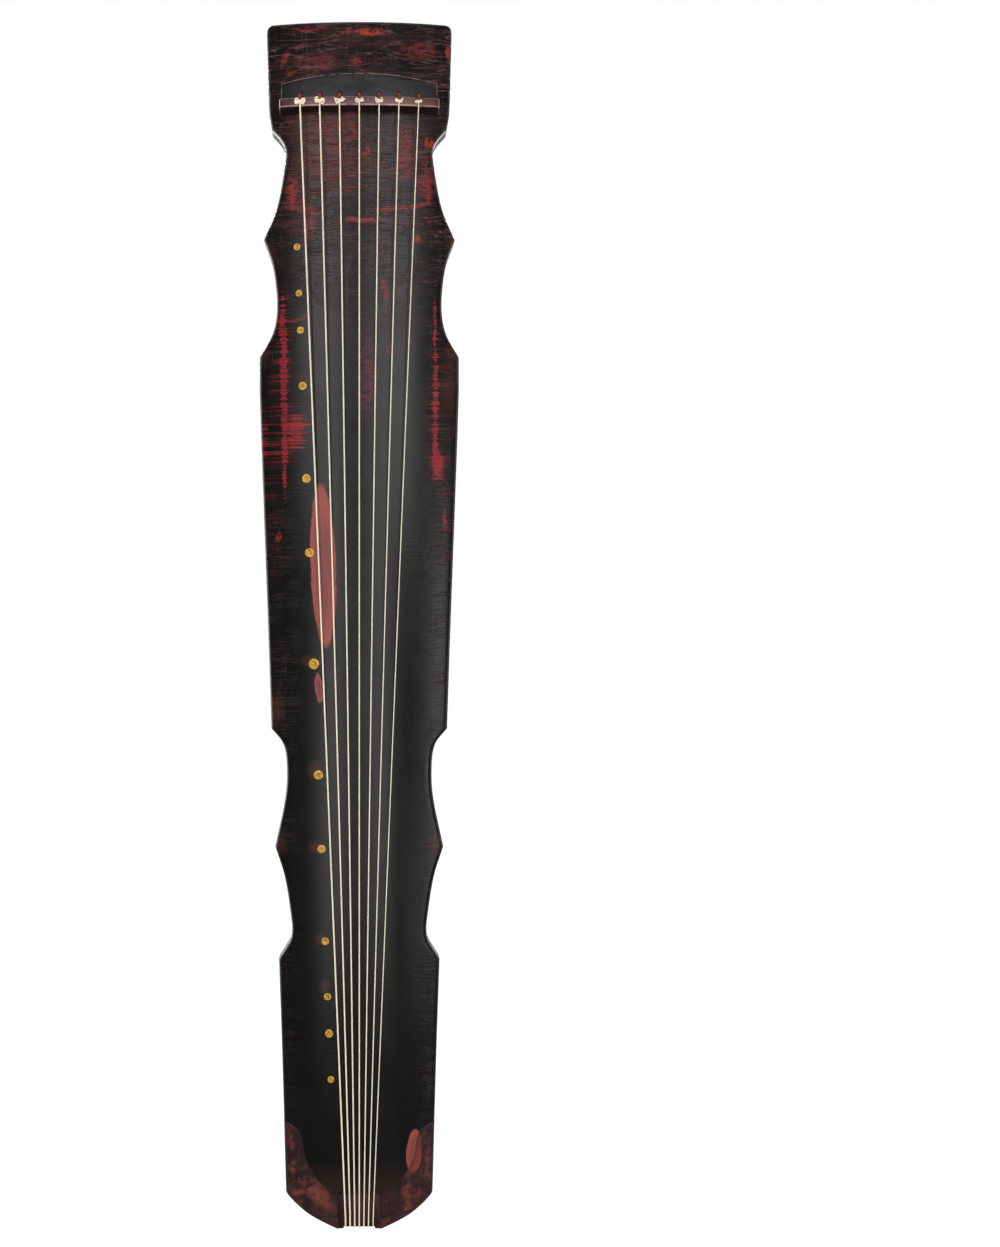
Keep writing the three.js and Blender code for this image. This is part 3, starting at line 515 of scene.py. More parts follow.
class Shader(Nodes):
    """A material, painted coat upon coat on a first colour."""

    def __init__(self, name, paint=(0, 0, 0)):
        self.material = bpy.data.materials.new(name)
        super().__init__(self.material)
        self.surface = self.tree.nodes["Principled BSDF"]
        self.place = self.node("TexCoord")["Object"]
        self.base = colour(*paint)
        self.normal = None

    def vector(self, operation, a, b):
        feeds = {0: a, 3 if operation == "SCALE" else 1: b}
        return self.node("VectorMath", feeds, operation=operation)[0]

    def stretch(self, where, scale, turn=0):
        return self.node("Mapping", {"Vector": where, "Scale": scale, "Rotation": (0, turn, 0)})[0]

    def noise(self, scale, detail=3, roughness=0.5, where=None, distortion=0, output="Fac"):
        """Noise at one scale, or at three, one for each axis."""
        where = self.place if where is None else where
        if isinstance(scale, tuple):
            where, scale = self.stretch(where, scale), 1
        feeds = {"Vector": where, "Scale": scale, "Detail": detail, "Roughness": roughness}
        feeds["Distortion"] = distortion
        return self.node("TexNoise", feeds)[output]

    def between(self, value, low, high):
        """0 below low, 1 above high, and smooth between."""
        feeds = {"Value": value, "From Min": min(low, high), "From Max": max(low, high)}
        feeds.update({"To Min": int(low > high), "To Max": int(low < high)})
        return self.node("MapRange", feeds, interpolation_type="SMOOTHSTEP")["Result"]

    def cloud(self, scale, low, high, detail=3, roughness=0.5, where=None):
        """Noise that is 0 below low, 1 above high, and smooth between."""
        return self.between(self.noise(scale, detail, roughness, where), low, high)

    def lines(self, where, scale, width, turn=0):
        """Thin wandering lines, drawn out along the axes with the small scales."""
        where = self.stretch(where, (1, 1, 1), turn) if turn else where
        return self.between(self.size(self.minus(self.noise(scale, 2, where=where), 0.5)), width, 0)

    def shaken(self, where, scale, amount):
        """The same place, moved about by noise by up to half the amount, in metres."""
        wander = self.vector("SUBTRACT", self.noise(scale, where=where, output="Color"), (0.5, 0.5, 0.5))
        return self.vector("ADD", where, self.vector("SCALE", wander, amount))

    def patch(self, where, centre, half, soft, turn=0):
        """An oval patch on the front or back: 1 inside, 0 outside."""
        feeds = {"Vector": where, "Location": (centre[0], 0, centre[1]), "Rotation": (0, radians(turn), 0)}
        feeds["Scale"] = (half[0] * MM, 1, half[1] * MM)
        oval = self.node("Mapping", feeds, vector_type="TEXTURE")[0]
        away = self.node("VectorMath", {0: oval}, operation="LENGTH")["Value"]
        return self.between(away, 1 + soft, 1 - soft)

    def patches(self, where, rows, spot, soft):
        """At each place the strongest of a table's patches."""
        masks = []
        for x, y, half_x, half_y, strength, *turn in rows:
            half = (half_x * MM_PER_PIXEL, half_y * MM_PER_PIXEL)
            masks.append(self.times(self.patch(where, spot(x, y), half, soft, *turn), strength))
        return self.most(*masks)

    def axis(self, name, where=None):
        return self.node("SeparateXYZ", {0: self.place if where is None else where})[name]

    def coat(self, paint, share, strength=1):
        """Lays a colour over what there is so far, as far as share says."""
        paint = colour(*paint) if isinstance(paint, tuple) else paint
        share = share if strength == 1 else self.times(share, strength)
        self.base = self.mix(share, self.base, paint)

    def bump(self, height, distance, strength):
        """Adds relief to what there is so far."""
        feeds = {"Height": height, "Distance": distance, "Strength": strength}
        if self.normal is not None:
            feeds["Normal"] = self.normal
        self.normal = self.node("Bump", feeds)[0]

    def finish(self, roughness, specular=0.5, metallic=0, sheen=0):
        looks = {"Base Color": self.base, "Roughness": roughness, "Specular IOR Level": specular}
        looks.update({"Metallic": metallic, "Sheen Weight": sheen})
        if self.normal is not None:
            looks["Normal"] = self.normal
        for name, value in looks.items():
            self.feed(self.surface.inputs[name], value)
        return self.material


# Places in the photograph, in pixels, as places on the front or the back, in metres.
def spot(x, y, column, row, scale):
    return (x - column) * scale * MM, (HOOK - MID_STATION - (y - row) * scale) * MM


def front_spot(x, y):
    return spot(x, y, FRONT_COLUMN + FRONT_LEAN * y / PHOTO_HEIGHT, FRONT_ROW, MM_PER_PIXEL)


def back_spot(x, y):
    across, up = spot(x, y, BACK_COLUMN, BACK_ROW, BACK_MM_PER_PIXEL)
    return -across, up


# Worn patches, and a few dark spots of painted shade, in the photograph's pixels: x, y, half width, half
# height, strength, and any turn in degrees.
FRONT_VERMILION = [
    (367, 31, 13, 3.6, 0.9), (345, 30, 6, 2.5, 0.5), (282, 57, 3, 9, 0.6, 12), (287, 72, 5, 3.5, 0.3),
    (446, 50, 2.2, 9, 0.65), (427, 142, 4.5, 5, 0.8), (365, 154, 5, 6, 0.55), (446, 520, 1.6, 9, 0.6),
    (278, 536, 3, 4, 0.5), (417, 238, 4.5, 4.5, 0.5),
]
CROWN_SPOTS = [
    (291, 1145, 4, 9, 0.6), (294, 1172, 3, 7, 0.6, 5), (319, 1196, 8, 19, 0.6, -38), (301, 1196, 5, 6, 0.4),
    (407, 1194, 5, 9, 0.45), (409, 1209, 4, 7, 0.5, 10), (430, 1160, 3, 14, 0.35), (418, 1196, 4, 6, 0.3),
]
# Small dent marks beside the tail's notch: sunk in the bump and darkened as painted shade.
SHADED_CROWN_DENTS = [
    (341, 1219, 7, 2.2, 1, -12), (380, 1219, 7, 2.2, 1, 12), (346, 1224, 2, 3, 1), (376, 1224, 2, 3, 1),
]
FRONT_CRIMSON = [
    (306, 26, 14, 3, 0.8), (416, 50, 18, 8, 0.5), (356, 60, 7, 6, 0.6), (315, 62, 20, 9, 0.4),
    (404, 150, 7, 20, 0.6), (403, 171, 10, 8, 0.6), (424, 186, 8, 17, 0.6), (403, 207, 26, 2, 0.9, -7),
    (358, 220, 20, 2.4, 0.9), (291, 190, 6, 14, 0.8), (308, 228, 6, 11, 0.75, 10), (293, 118, 8, 4, 0.5),
    (350, 132, 5, 24, 0.5), (330, 150, 30, 40, 0.3), (382, 249, 2.5, 6, 0.6), (382, 285, 2, 6, 0.6),
    (366, 375, 9, 36, 0.3), (300, 318, 9, 2, 0.7, -20), (438, 466, 6, 14, 0.7), (304, 210, 16, 4, 0.5, 10),
    (385, 300, 2, 14, 0.5), (389, 350, 2, 5, 0.6),
]
# Solid strips of red along the edges, and the stretches that fine cuts across spread it over.
FRONT_CORES = [
    (281, 322, 3, 26, 0.9), (283, 372, 3.6, 48, 1), (284, 430, 3.4, 40, 1), (284, 466, 2, 28, 0.9),
    (294, 433, 13, 16, 0.85), (434, 330, 1.6, 34, 0.8), (435, 390, 3.2, 50, 0.8), (435, 440, 3, 26, 0.9),
    (437, 464, 5, 13, 1), (291, 196, 3, 16, 0.8), (427, 190, 3, 20, 0.7), (264, 435, 5, 20, 0.62),
]
FRONT_COMBS = [
    (283, 345, 8, 50, 0.6), (282, 400, 11, 50, 0.75), (276, 438, 18, 26, 0.9), (296, 395, 10, 34, 0.3),
    (436, 372, 6, 50, 0.4), (436, 430, 8, 44, 0.6), (437, 464, 9, 18, 0.85), (268, 480, 10, 60, 0.25),
    (291, 205, 9, 24, 0.7), (424, 175, 12, 30, 0.55), (404, 150, 8, 24, 0.6), (448, 400, 4, 60, 0.25),
    (275, 540, 8, 40, 0.2), (446, 520, 5, 40, 0.3),
]
FRONT_WORN = [
    (323, 566, 12.5, 81, 1, -2), (319, 688, 4, 15, 0.9, -5), (416, 1154, 7.5, 22, 0.95, 4),
]
FRONT_BROWN = [
    (276, 708, 7, 14, 0.6), (268, 250, 7, 12, 0.5), (452, 245, 7, 12, 0.5), (262, 354, 6, 8, 0.4),
    (452, 352, 7, 10, 0.6), (281, 845, 6, 10, 0.4), (438, 845, 6, 10, 0.4), (448, 380, 6, 26, 0.4),
    (311, 661, 7, 6, 0.7), (315, 771, 7, 9, 0.6), (317, 848, 7, 6, 0.7), (322, 940, 6, 6, 0.6),
    (325, 986, 5, 6, 0.6),
]
BACK_CRIMSON = [
    (558, 62, 7, 16, 0.9), (560, 92, 6, 40, 0.8), (563, 120, 8, 14, 0.9), (596, 83, 15, 7, 0.8),
    (600, 69, 5, 5, 0.6), (636, 76, 8, 4, 0.8), (658, 79, 7, 2.5, 0.7), (670, 59, 10, 6, 0.6),
    (680, 74, 9, 9, 0.6), (709, 73, 9, 12, 0.5), (578, 235, 4, 23, 0.8), (560, 262, 5, 6, 0.8),
    (551, 243, 4, 6, 0.8), (727, 246, 4, 6, 0.9), (570, 312, 9, 20, 0.7), (559, 275, 4, 14, 0.6),
    (556, 410, 3, 60, 0.45), (724, 345, 10, 4, 0.6), (588, 345, 10, 5, 0.5), (575, 820, 10, 16, 0.5),
    (708, 812, 8, 14, 0.6), (583, 1150, 12, 34, 0.9), (577, 1195, 12, 22, 0.8), (606, 1205, 22, 9, 0.7),
    (703, 1150, 10, 34, 0.8), (700, 1196, 16, 14, 0.7), (630, 1115, 40, 16, 0.3), (668, 1190, 14, 16, 0.4),
    (566, 1040, 4, 40, 0.4), (716, 1000, 3, 60, 0.35), (563, 965, 4, 8, 0.7), (718, 966, 4, 8, 0.7),
]


def front_lacquer(name, top, bottom):
    """Black lacquer, crackled across at the head and rubbed through to red in places.

    The front has one material for each stretch of it, alike but for the worn patches between the
    photograph's rows top and bottom.
    """
    s = Shader(name, (5, 5, 4))

    def marks(where, rows, soft):
        return s.patches(where, [row for row in rows if top <= row[1] < bottom], front_spot, soft)

    near = s.shaken(s.place, 90, 0.004)
    far = s.shaken(near, 24, 0.010)
    upper = s.between(s.axis("Z"), 0.12, 0.34)
    off_middle = s.size(s.axis("X"))
    s.coat((12, 11, 9), s.cloud((26, 26, 4), 0.38, 0.68, 4))
    # The head and neck are browner, with a net of pale cracks across.
    mottle = s.cloud((34, 34, 60), 0.36, 0.72, 4, 0.55)
    centred = s.scaled(s.between(off_middle, 0.1, 0.045), 0.5, 0.25)
    s.coat((49, 27, 24), s.times(mottle, upper, centred))
    wavy = s.shaken(s.place, 70, 0.005)
    fine = s.lines(wavy, (15, 15, 190), 0.022)
    coarse = s.times(s.lines(wavy, (13, 13, 240), 0.016, 0.06), 0.7)
    along = s.times(s.lines(wavy, (120, 60, 14), 0.008), 0.5)
    edge = s.times(s.between(off_middle, 0.05, 0.085), 0.3)
    shown = s.times(s.most(fine, coarse, along), s.cloud(30, 0.3, 0.56, 4), s.most(upper, edge))
    s.coat((58, 34, 24), marks(far, FRONT_BROWN, 0.6))
    s.coat((46, 26, 19), s.between(s.axis("Z", near), -0.672, -0.712), 0.7)
    flakes = s.cloud((110, 110, 260), 0.38, 0.54, 4, 0.6)
    crimson = s.times(marks(far, FRONT_CRIMSON, 0.5), flakes)
    s.coat((116, 34, 38), crimson)
    spots = s.cloud(190, 0.38, 0.56, 5, 0.65)
    s.coat((150, 54, 42), s.times(marks(far, FRONT_VERMILION, 0.45), spots))
    # Red lying in fine cuts across the edges, like the teeth of a comb, beside solid strips of it.
    ragged = s.shaken(s.place, 200, 0.005)
    comb = s.times(marks(ragged, FRONT_COMBS, 0.6), s.cloud((14, 14, 560), 0.52, 0.62, 2))
    strips = marks(near, FRONT_CORES, 0.9)
    teeth = s.scaled(s.noise((12, 12, 560), 2), 1.9, strips)
    gaps = s.cloud((16, 16, 820), 0.5, 0.58, 2, where=ragged)
    core = s.times(s.between(teeth, 1.4, 1.56), s.between(strips, 0.02, 0.12), s.scaled(gaps, -0.5, 0.8))
    s.coat((112, 24, 28), comb, 0.7)
    s.coat((134, 25, 32), core)
    s.coat((97, 60, 59), shown, 0.75)
    # Smooth rubbed patches: pale at the rim, darker inside.
    worn = marks(near, FRONT_WORN, 0.06)
    inner = [(x, y, wide * 0.62, long * 0.72, 1, *turn) for x, y, wide, long, _, *turn in FRONT_WORN]
    grain = s.scaled(s.cloud((160, 160, 10), 0.35, 0.65, 4), 0.5, 0.3)
    inside = s.times(marks(near, inner, 0.35), grain)
    s.coat(s.mix(inside, colour(134, 62, 56), colour(92, 48, 46)), worn)
    s.bump(s.noise((16, 16, 5), 2), 0.0012, 0.25)
    s.bump(s.noise((60, 60, 420)), 0.0002, 0.35)
    s.bump(shown, 0.0004, 0.8)
    rubbed = s.times(s.plus(worn, crimson, core), 0.12)
    flank = s.times(s.between(s.axis("Y"), -0.03, -0.024), 0.32)
    return s.finish(s.plus(rubbed, flank, s.scaled(s.noise(40, 4), 0.12, 0.16)), 0.05)


def back_lacquer():
    """The back: dark brown lacquer with purple-brown streaks along it and fine cracks across."""
    s = Shader("back_lacquer", (6, 5, 5))
    far = s.shaken(s.shaken(s.place, 90, 0.006), 24, 0.014)
    s.coat((46, 19, 16), s.cloud((60, 60, 3.2), 0.42, 0.68, 5, 0.65))
    s.coat((9, 9, 9), s.cloud((16, 16, 7), 0.42, 0.62), 0.8)
    middle = s.times(s.between(s.size(s.axis("X")), 0.075, 0.02), s.between(s.axis("Z"), -0.3, -0.06))
    s.coat((13, 13, 13), middle, 0.7)
    s.coat((76, 36, 30), s.cloud((70, 70, 170), 0.5, 0.7, 5, 0.7), 0.45)
    wavy = s.shaken(s.place, 70, 0.005)
    coarse = s.times(s.lines(wavy, (12, 12, 170), 0.014, 0.05), 0.7)
    shown = s.times(s.most(s.lines(wavy, (10, 10, 300), 0.016), coarse), s.cloud(26, 0.38, 0.62, 4))
    s.coat((88, 54, 52), shown, 0.6)
    haze = s.times(s.cloud((30, 30, 9), 0.52, 0.66, 5, 0.7), s.scaled(middle, -0.8, 1))
    s.coat((82, 25, 22), haze, 0.5)
    scratches = s.times(s.lines(s.place, (230, 230, 9), 0.012), s.cloud(18, 0.5, 0.62))
    s.coat((104, 80, 76), scratches, 0.5)
    flakes = s.cloud((100, 100, 160), 0.44, 0.56, 5, 0.7)
    red = s.times(s.patches(far, BACK_CRIMSON, back_spot, 0.6), flakes)
    worn_tail = s.times(s.between(s.axis("Z"), -0.54, -0.72), s.cloud((60, 60, 90), 0.46, 0.66, 5, 0.7))
    s.coat((128, 42, 40), s.most(red, s.times(worn_tail, 0.55)))
    s.bump(s.noise((26, 26, 8)), 0.0014, 0.3)
    s.bump(s.noise((70, 70, 500)), 0.0002, 0.45)
    s.bump(s.plus(shown, scratches), 0.0003, 0.7)
    flank = s.scaled(s.between(s.axis("Y"), -0.003, -0.006), 0.3, 0.22)
    return s.finish(s.scaled(s.noise(50, 4), 0.16, flank), 0.055)


def edge_lacquer():
    """The rounded edge of the back, where handling has polished the lacquer."""
    s = Shader("edge_lacquer", (12, 10, 10))
    rubbed = s.noise((50, 50, 20), 4)
    s.coat((46, 28, 26), s.between(rubbed, 0.4, 0.65))
    s.bump(rubbed, 0.0004, 0.3)
    return s.finish(s.scaled(rubbed, 0.2, 0.2), 0.6)


def crown_lacquer():
    """The tail's corner pieces: dark red-brown, with brighter rubbed islands."""
    s = Shader("crown_lacquer", (25, 15, 14))
    near = s.shaken(s.place, 90, 0.005)
    far = s.shaken(near, 26, 0.012)
    s.coat((56, 30, 28), s.cloud(60, 0.36, 0.7, 5, 0.65))
    s.coat((104, 54, 48), s.cloud(90, 0.55, 0.63, 5, 0.6, s.shaken(s.place, 60, 0.012)), 0.4)
    s.coat((122, 56, 48), s.times(s.patches(far, CROWN_SPOTS, front_spot, 0.5), s.cloud(150, 0.4, 0.56, 4)))
    s.coat((118, 50, 48), s.patches(near, FRONT_WORN[2:], front_spot, 0.08))
    middle = (0, (HOOK - CROWN_PIECE_START) * MM)
    s.coat((15, 11, 10), s.patch(s.shaken(s.place, 60, 0.008), middle, (63, 76), 0.2), 0.85)
    # Painted shade: the small dent marks by the notch are darkened, and also sunk in the bump.
    shaded_dents = s.patches(s.place, SHADED_CROWN_DENTS, front_spot, 0.3)
    s.coat((12, 9, 8), shaded_dents, 0.8)
    s.bump(s.minus(s.noise(140, 4), shaded_dents), 0.0004, 0.4)
    return s.finish(s.scaled(s.noise(60, 4), 0.2, 0.2), 0.06)


def bridge_lacquer():
    """The bridge: red-brown wood under lacquer, with painted shade on its face towards the tail and painted
    highlights as thin pale lines along both long arris edges and its ends.
    """
    s = Shader("bridge_lacquer", (40, 14, 13))
    grain = s.noise((9, 110, 110), 5, 0.6, s.shaken(s.place, 20, 0.004))
    s.coat((82, 28, 24), s.between(grain, 0.3, 0.7))
    tail_edge = HOOK - BRIDGE_TAIL_EDGE
    # Painted shade: the face towards the tail is darker.
    s.coat((30, 15, 14), s.between(s.axis("Z"), tail_edge * MM, (tail_edge - 0.8) * MM))
    # Painted highlights: thin pale lines along both long arris edges and the ends.
    arris_highlights = []
    for station in (BRIDGE_HEAD_EDGE, BRIDGE_TAIL_EDGE):
        away = s.size(s.minus(s.axis("Z"), (HOOK - station) * MM))
        arris_highlights.append(s.between(away, 0.0009, 0.0003))
    arris_highlights.append(s.between(s.minus(BRIDGE_HALF * MM, s.size(s.axis("X"))), 0.001, 0.0004))
    s.coat((150, 118, 112), s.times(s.most(*arris_highlights), s.cloud(120, 0.25, 0.5)), 0.8)
    s.bump(grain, 0.0003, 0.3)
    return s.finish(s.scaled(grain, 0.16, 0.24), 0.12)


def strip_lacquer():
    """The string-hole strip: black, with a thin pale line along its arched edge and its ends as a painted
    highlight.
    """
    s = Shader("strip_lacquer", (13, 13, 14))
    across = s.times(s.axis("X"), 1 / (STRIP_HALF * MM))
    rise = s.times(s.minus(1, s.times(across, across)), STRIP_RISE * MM)
    inside = s.minus(s.plus((HOOK - STRIP_START) * MM, rise), s.axis("Z"))
    ends = s.minus(STRIP_HALF * MM, s.size(s.axis("X")))
    # Painted highlight: a thin pale line along the raised edge and the ends.
    edge_highlight = s.between(s.math("MINIMUM", inside, ends), 0.0009, 0.0003)
    s.coat((34, 28, 30), s.cloud((30, 30, 90), 0.4, 0.7, 4))
    s.coat((122, 104, 98), s.times(edge_highlight, s.cloud(120, 0.3, 0.55)))
    s.bump(s.noise((60, 60, 200)), 0.0003, 0.3)
    return s.finish(s.scaled(s.noise(60, 4), 0.14, 0.2), 0.1)


def wood(name, dark, light, along, grain, roughness, specular):
    """Wood with grain along one axis and small pores."""
    def drawn_out(across, lengthwise):
        return tuple(lengthwise if axis == along else across for axis in "XYZ")

    s = Shader(name, dark)
    bands = s.noise(drawn_out(grain, grain / 14), 5, 0.6, s.shaken(s.place, 20, 0.004), 0.4)
    s.coat(light, s.between(bands, 0.3, 0.7))
    pores = s.cloud(drawn_out(grain * 9, grain / 2), 0.62, 0.72, 2)
    s.coat(dark, pores, 0.5)
    s.bump(s.minus(bands, pores), 0.0003, 0.4)
    return s.finish(s.scaled(bands, 0.2, roughness - 0.1), specular)


def gold(name, dark, light):
    """The studs' gilt shell, rubbed and speckled."""
    s = Shader(name, dark)
    worn = s.noise(500, 4, 0.6)
    s.coat(light, s.between(worn, 0.35, 0.65))
    s.bump(worn, 0.0002, 0.4)
    return s.finish(s.scaled(worn, 0.3, 0.25), 0.08, metallic=0.05)


def silk(name, dark, light, scale, roughness, sheen, lengthwise=3, specular=0.12):
    """Twisted silk: fine strands in two tones, some times longer than they are wide."""
    s = Shader(name, dark)
    strands = s.noise((scale, scale, scale / lengthwise), 4, 0.65)
    s.coat(light, s.between(strands, 0.32, 0.68))
    s.bump(strands, 0.0002, 0.6)
    return s.finish(roughness, specular, sheen=sheen)


# The camera, at the photograph's place.
def make_camera():
    data = bpy.data.cameras.new("camera")
    data.sensor_width = SENSOR
    data.lens = SENSOR * 2 / VIEW_HEIGHT_AT_TWO_METRES
    data.shift_x = CENTRE_SHIFT_PIXELS / PHOTO_HEIGHT
    camera = add_object("camera", data)
    camera.location = (0, -CAMERA_DISTANCE, CAMERA_HEIGHT)
    camera.rotation_euler = (radians(90), 0, 0)
    bpy.context.scene.camera = camera


make_camera()
CORD_SILK = silk("cord_silk", (74, 30, 26), (140, 66, 56), 900, 0.7, 0.04, 3, 0.04)
TASSEL_SILK = silk("tassel_silk", (78, 28, 23), (164, 78, 65), 620, 0.75, 0, 26, 0.02)
# A darker copy of the tassel silk, as painted shade between the threads.
TASSEL_PAINTED_SHADE = silk("tassel_silk_dark", (34, 11, 9), (96, 38, 32), 620, 0.75, 0, 26, 0.02)
STRING_SILK = silk("string_silk", (204, 190, 160), (238, 230, 208), 1400, 0.5, 0.1)
BRIDGE_WOOD = bridge_lacquer()
STRIP_BLACK = strip_lacquer()
NUT_WOOD = wood("nut_wood", (24, 14, 10), (50, 30, 22), "Z", 60, 0.5, 0.03)
FOOT_WOOD = wood("foot_wood", (32, 21, 23), (64, 45, 49), "X", 60, 0.38, 0.1)
FITTING_WOOD = wood("fitting_wood", (32, 22, 21), (66, 46, 45), "Y", 120, 0.4, 0.14)
GUM_WOOD = wood("gum_rest_wood", (26, 14, 12), (56, 30, 26), "Z", 120, 0.4, 0.1)
BARE_WOOD = wood("bare_wood", (140, 84, 42), (168, 108, 58), "Z", 240, 0.75, 0.15)
STRIP_BARE = wood("peg_strip_wood", (58, 41, 29), (94, 69, 50), "X", 90, 0.7, 0.12)
PEG_WOOD = wood("peg_wood", (34, 22, 18), (68, 46, 38), "Y", 160, 0.55, 0.12)
FRONT_HEAD = front_lacquer("front_lacquer_head", 0, NECK_ROW)
FRONT_BODY = front_lacquer("front_lacquer_body", NECK_ROW, WAIST_ROW)
FRONT_TAIL = front_lacquer("front_lacquer_tail", WAIST_ROW, PHOTO_HEIGHT)
BACK = back_lacquer()
EDGE = edge_lacquer()
CROWN_RED = crown_lacquer()
GOLD = gold("stud_gold", (142, 106, 26), (196, 156, 46))
# A darker copy of the gilt for the studs' dished middles, as painted shade.
GOLD_MIDDLE_PAINTED_SHADE = gold("stud_gold_middle", (104, 66, 24), (176, 128, 48))


# The cords and their tassels.
def spread_at(station):
    share = clamped((station - SPREAD_START) / (SPREAD_END - SPREAD_START), 0, 1)
    return BUNDLE_PITCH + (TASSEL_PITCH - BUNDLE_PITCH) * share * share * (3 - 2 * share)


def bundle_place(i, station):
    pitch = spread_at(station)
    layer_gap = (FRONT_LAYER - BACK_LAYER) * (pitch / BUNDLE_PITCH)
    front = FRONT_LAYER - (pitch - BUNDLE_PITCH) / 2
    across = BUNDLE_ACROSS + string_across(i, pitch) / 2
    return place(across, station, front - layer_gap if i % 2 == 1 else front)


def held_corners(i):
    across = string_across(i, PITCH_AT_BRIDGE)
    clear = FIT + CORD_RADIUS
    top, edge = bridge_top(across), BRIDGE_START - clear
    return [
        place(across, BRIDGE_MIDDLE - 1, top + clear),
        place(across, edge + BRIDGE_LEAN, top + clear),
        place(across, edge, top - BRIDGE_HEIGHT / 2),
        place(across, HOLE_STATION, top_height(across, HOLE_STATION)),
        place(across, POOL_STATION, PEG_STRIP_FACE - FIT),
        place(across, POOL_STATION, PEG_END),
    ]


def free_route(i):
    across = string_across(i, PITCH_AT_BRIDGE)
    corners = [
        place(across, POOL_STATION, PEG_END),
        place(across, POOL_STATION, PEG_END - PEG_TO_BEND),
        bundle_place(i, GATHER_STATION + GATHER_STEP * i),
        bundle_place(i, CORD_ENDS[i]),
    ]
    run = TASSEL_ENDS[i] - CORE_SHORT - CORD_ENDS[i]
    below = [CORD_ENDS[i] + run * k / CORE_STEPS for k in range(1, CORE_STEPS + 1)]
    return rounded_route(corners, FREE_BEND, 6) + [bundle_place(i, station) for station in below]


def twisted(name, route):
    """A cord of two strands twisted together, along a route."""
    fine = spaced(route, CORD_STEP)
    turn = 2 * pi * CORD_STEP / CORD_LAY

    def radius_at(i, angle):
        lean = angle - i * turn
        side, along = abs(sin(lean)) * STRAND_OFF_SHARE, abs(cos(lean)) * STRAND_OFF_SHARE
        return CORD_RADIUS * (along + sqrt(STRAND_SHARE * STRAND_SHARE - side * side))

    return mesh_object(name, tube(fine, radius_at, 18), [CORD_SILK], crease=180), fine


def loose_thread(i, chance):
    """It wanders in slow waves inside the tassel, kinked from the twist, and ends where it has worn to."""
    start, end = CORD_ENDS[i] - TASSEL_OVERLAP, TASSEL_ENDS[i]
    angle, out = chance.uniform(0, 2 * pi), sqrt(chance.uniform(0.02, 1))
    wander = []
    for _ in range(4):
        wander.append((chance.uniform(0.5, 1.6), chance.uniform(0, 2 * pi), chance.uniform(0.12, 0.42)))
    kinks = [(chance.uniform(*KINK_LENGTHS), chance.uniform(0, 2 * pi)) for _ in range(2)]
    last = end - min(abs(chance.gauss(0, RAGGED)), MOST_RAGGED)
    thread = []
    for k in range(THREAD_STEPS + 1):
        share = k / THREAD_STEPS
        station = start + (last - start) * share
        wide = max(CORD_RADIUS, spread_at(station) / 2) * (1.05 if share > 0.06 else 0.92)
        loose = min(share * 5, 1)
        offset = [out * cos(angle), out * sin(angle)]
        for n, (waves, phase, size) in enumerate(wander):
            offset[1 - n % 2] += size * loose * sin(phase + 2 * pi * waves * share)
        for n, (length, phase) in enumerate(kinks):
            offset[n] = offset[n] * wide + THREAD_KINK * loose * sin(phase + 2 * pi * station / length)
        keep = min(1, wide * (1 + 0.3 * share ** 3) / max(hypot(*offset), 0.01))
        thread.append(bundle_place(i, station) + Vector((*offset, 0)) * (MM * keep))
    return thread


def tassel(i):
    """Loose threads round the end of a cord, some in a darker copy of the silk as painted shade between
    threads, with ragged ends.
    """
    chance = random.Random(40 + i)
    parts = [tube(loose_thread(i, chance), lambda *_: THREAD_RADIUS, 4) for _ in range(TASSEL_THREADS)]
    threads = mesh_object("tassel_threads_%d" % (i + 1), joined(parts), [TASSEL_SILK, TASSEL_PAINTED_SHADE])
    # Two threads in five take the darker copy: painted shade between the threads.
    for face in threads.data.polygons:
        face.material_index = 1 if face.index // len(parts[0][1]) % 5 < 2 else 0
    return settle(threads, "tassel_%d" % (i + 1))


def make_cords():
    for i in range(STRINGS):
        node = "cord_%d" % (i + 1)
        threads = tassel(i)
        free, path = twisted("free_" + node, free_route(i))
        settle(free, node)
        held, _ = twisted("held_" + node, rounded_route(held_corners(i), HELD_BEND, 5))
        settle(held, node)


make_cords()


# The body.
def stations(start, end):
    """Even rows along the body, with the outline's corners and the rounded head end among them."""
    corners = [pairs[0][0] * BODY_LENGTH for pairs in OUTLINE_SHARES]
    rows = [ROW_STEP * k for k in range(int(BODY_LENGTH / ROW_STEP) + 1)]
    return sorted({s for s in corners + HEAD_ROWS + rows if start < s < end} | {start, end})


def top_row(half, station):
    """Points across the arched top, from the left edge to the right, with the arris rounded."""
    flat = half - ARRIS
    right = [flat + ARRIS * sin(radians(15 * k)) for k in range(1, 7)]
    rows = [-x for x in reversed(right)] + spread(flat, 36) + right
    return [place(x, station, top_height(x, station)) for x in rows]


def rounded_edge(half, steps):
    """The rounded lower edge, from the side to the flat back."""
    turn = [pi / 2 * k / steps for k in range(steps + 1)]
    return [(half - LOWER_ROUND * (1 - cos(a)), LOWER_ROUND * (1 - sin(a))) for a in turn]


def under_height(across, station, kind):
    """The underside of the top board: scooped in the head block, flat, or hollowed."""
    if kind == "head":
        share = max(1 - station / HEAD_BLOCK_END, 0)
        return SCOOP_DEPTH * share * max(1 - (across / SCOOP_HALF) ** 2, 0)
    if kind == "solid":
        return SEAM
    away = [(station - pool) / ABSORBER_REACH for pool in (DRAGON_POOL, PHOENIX_POOL)]
    absorber = ABSORBER_DROP * sum(exp(-share * share) for share in away)
    return crown_at(station) - arch(across) - ROOF - absorber


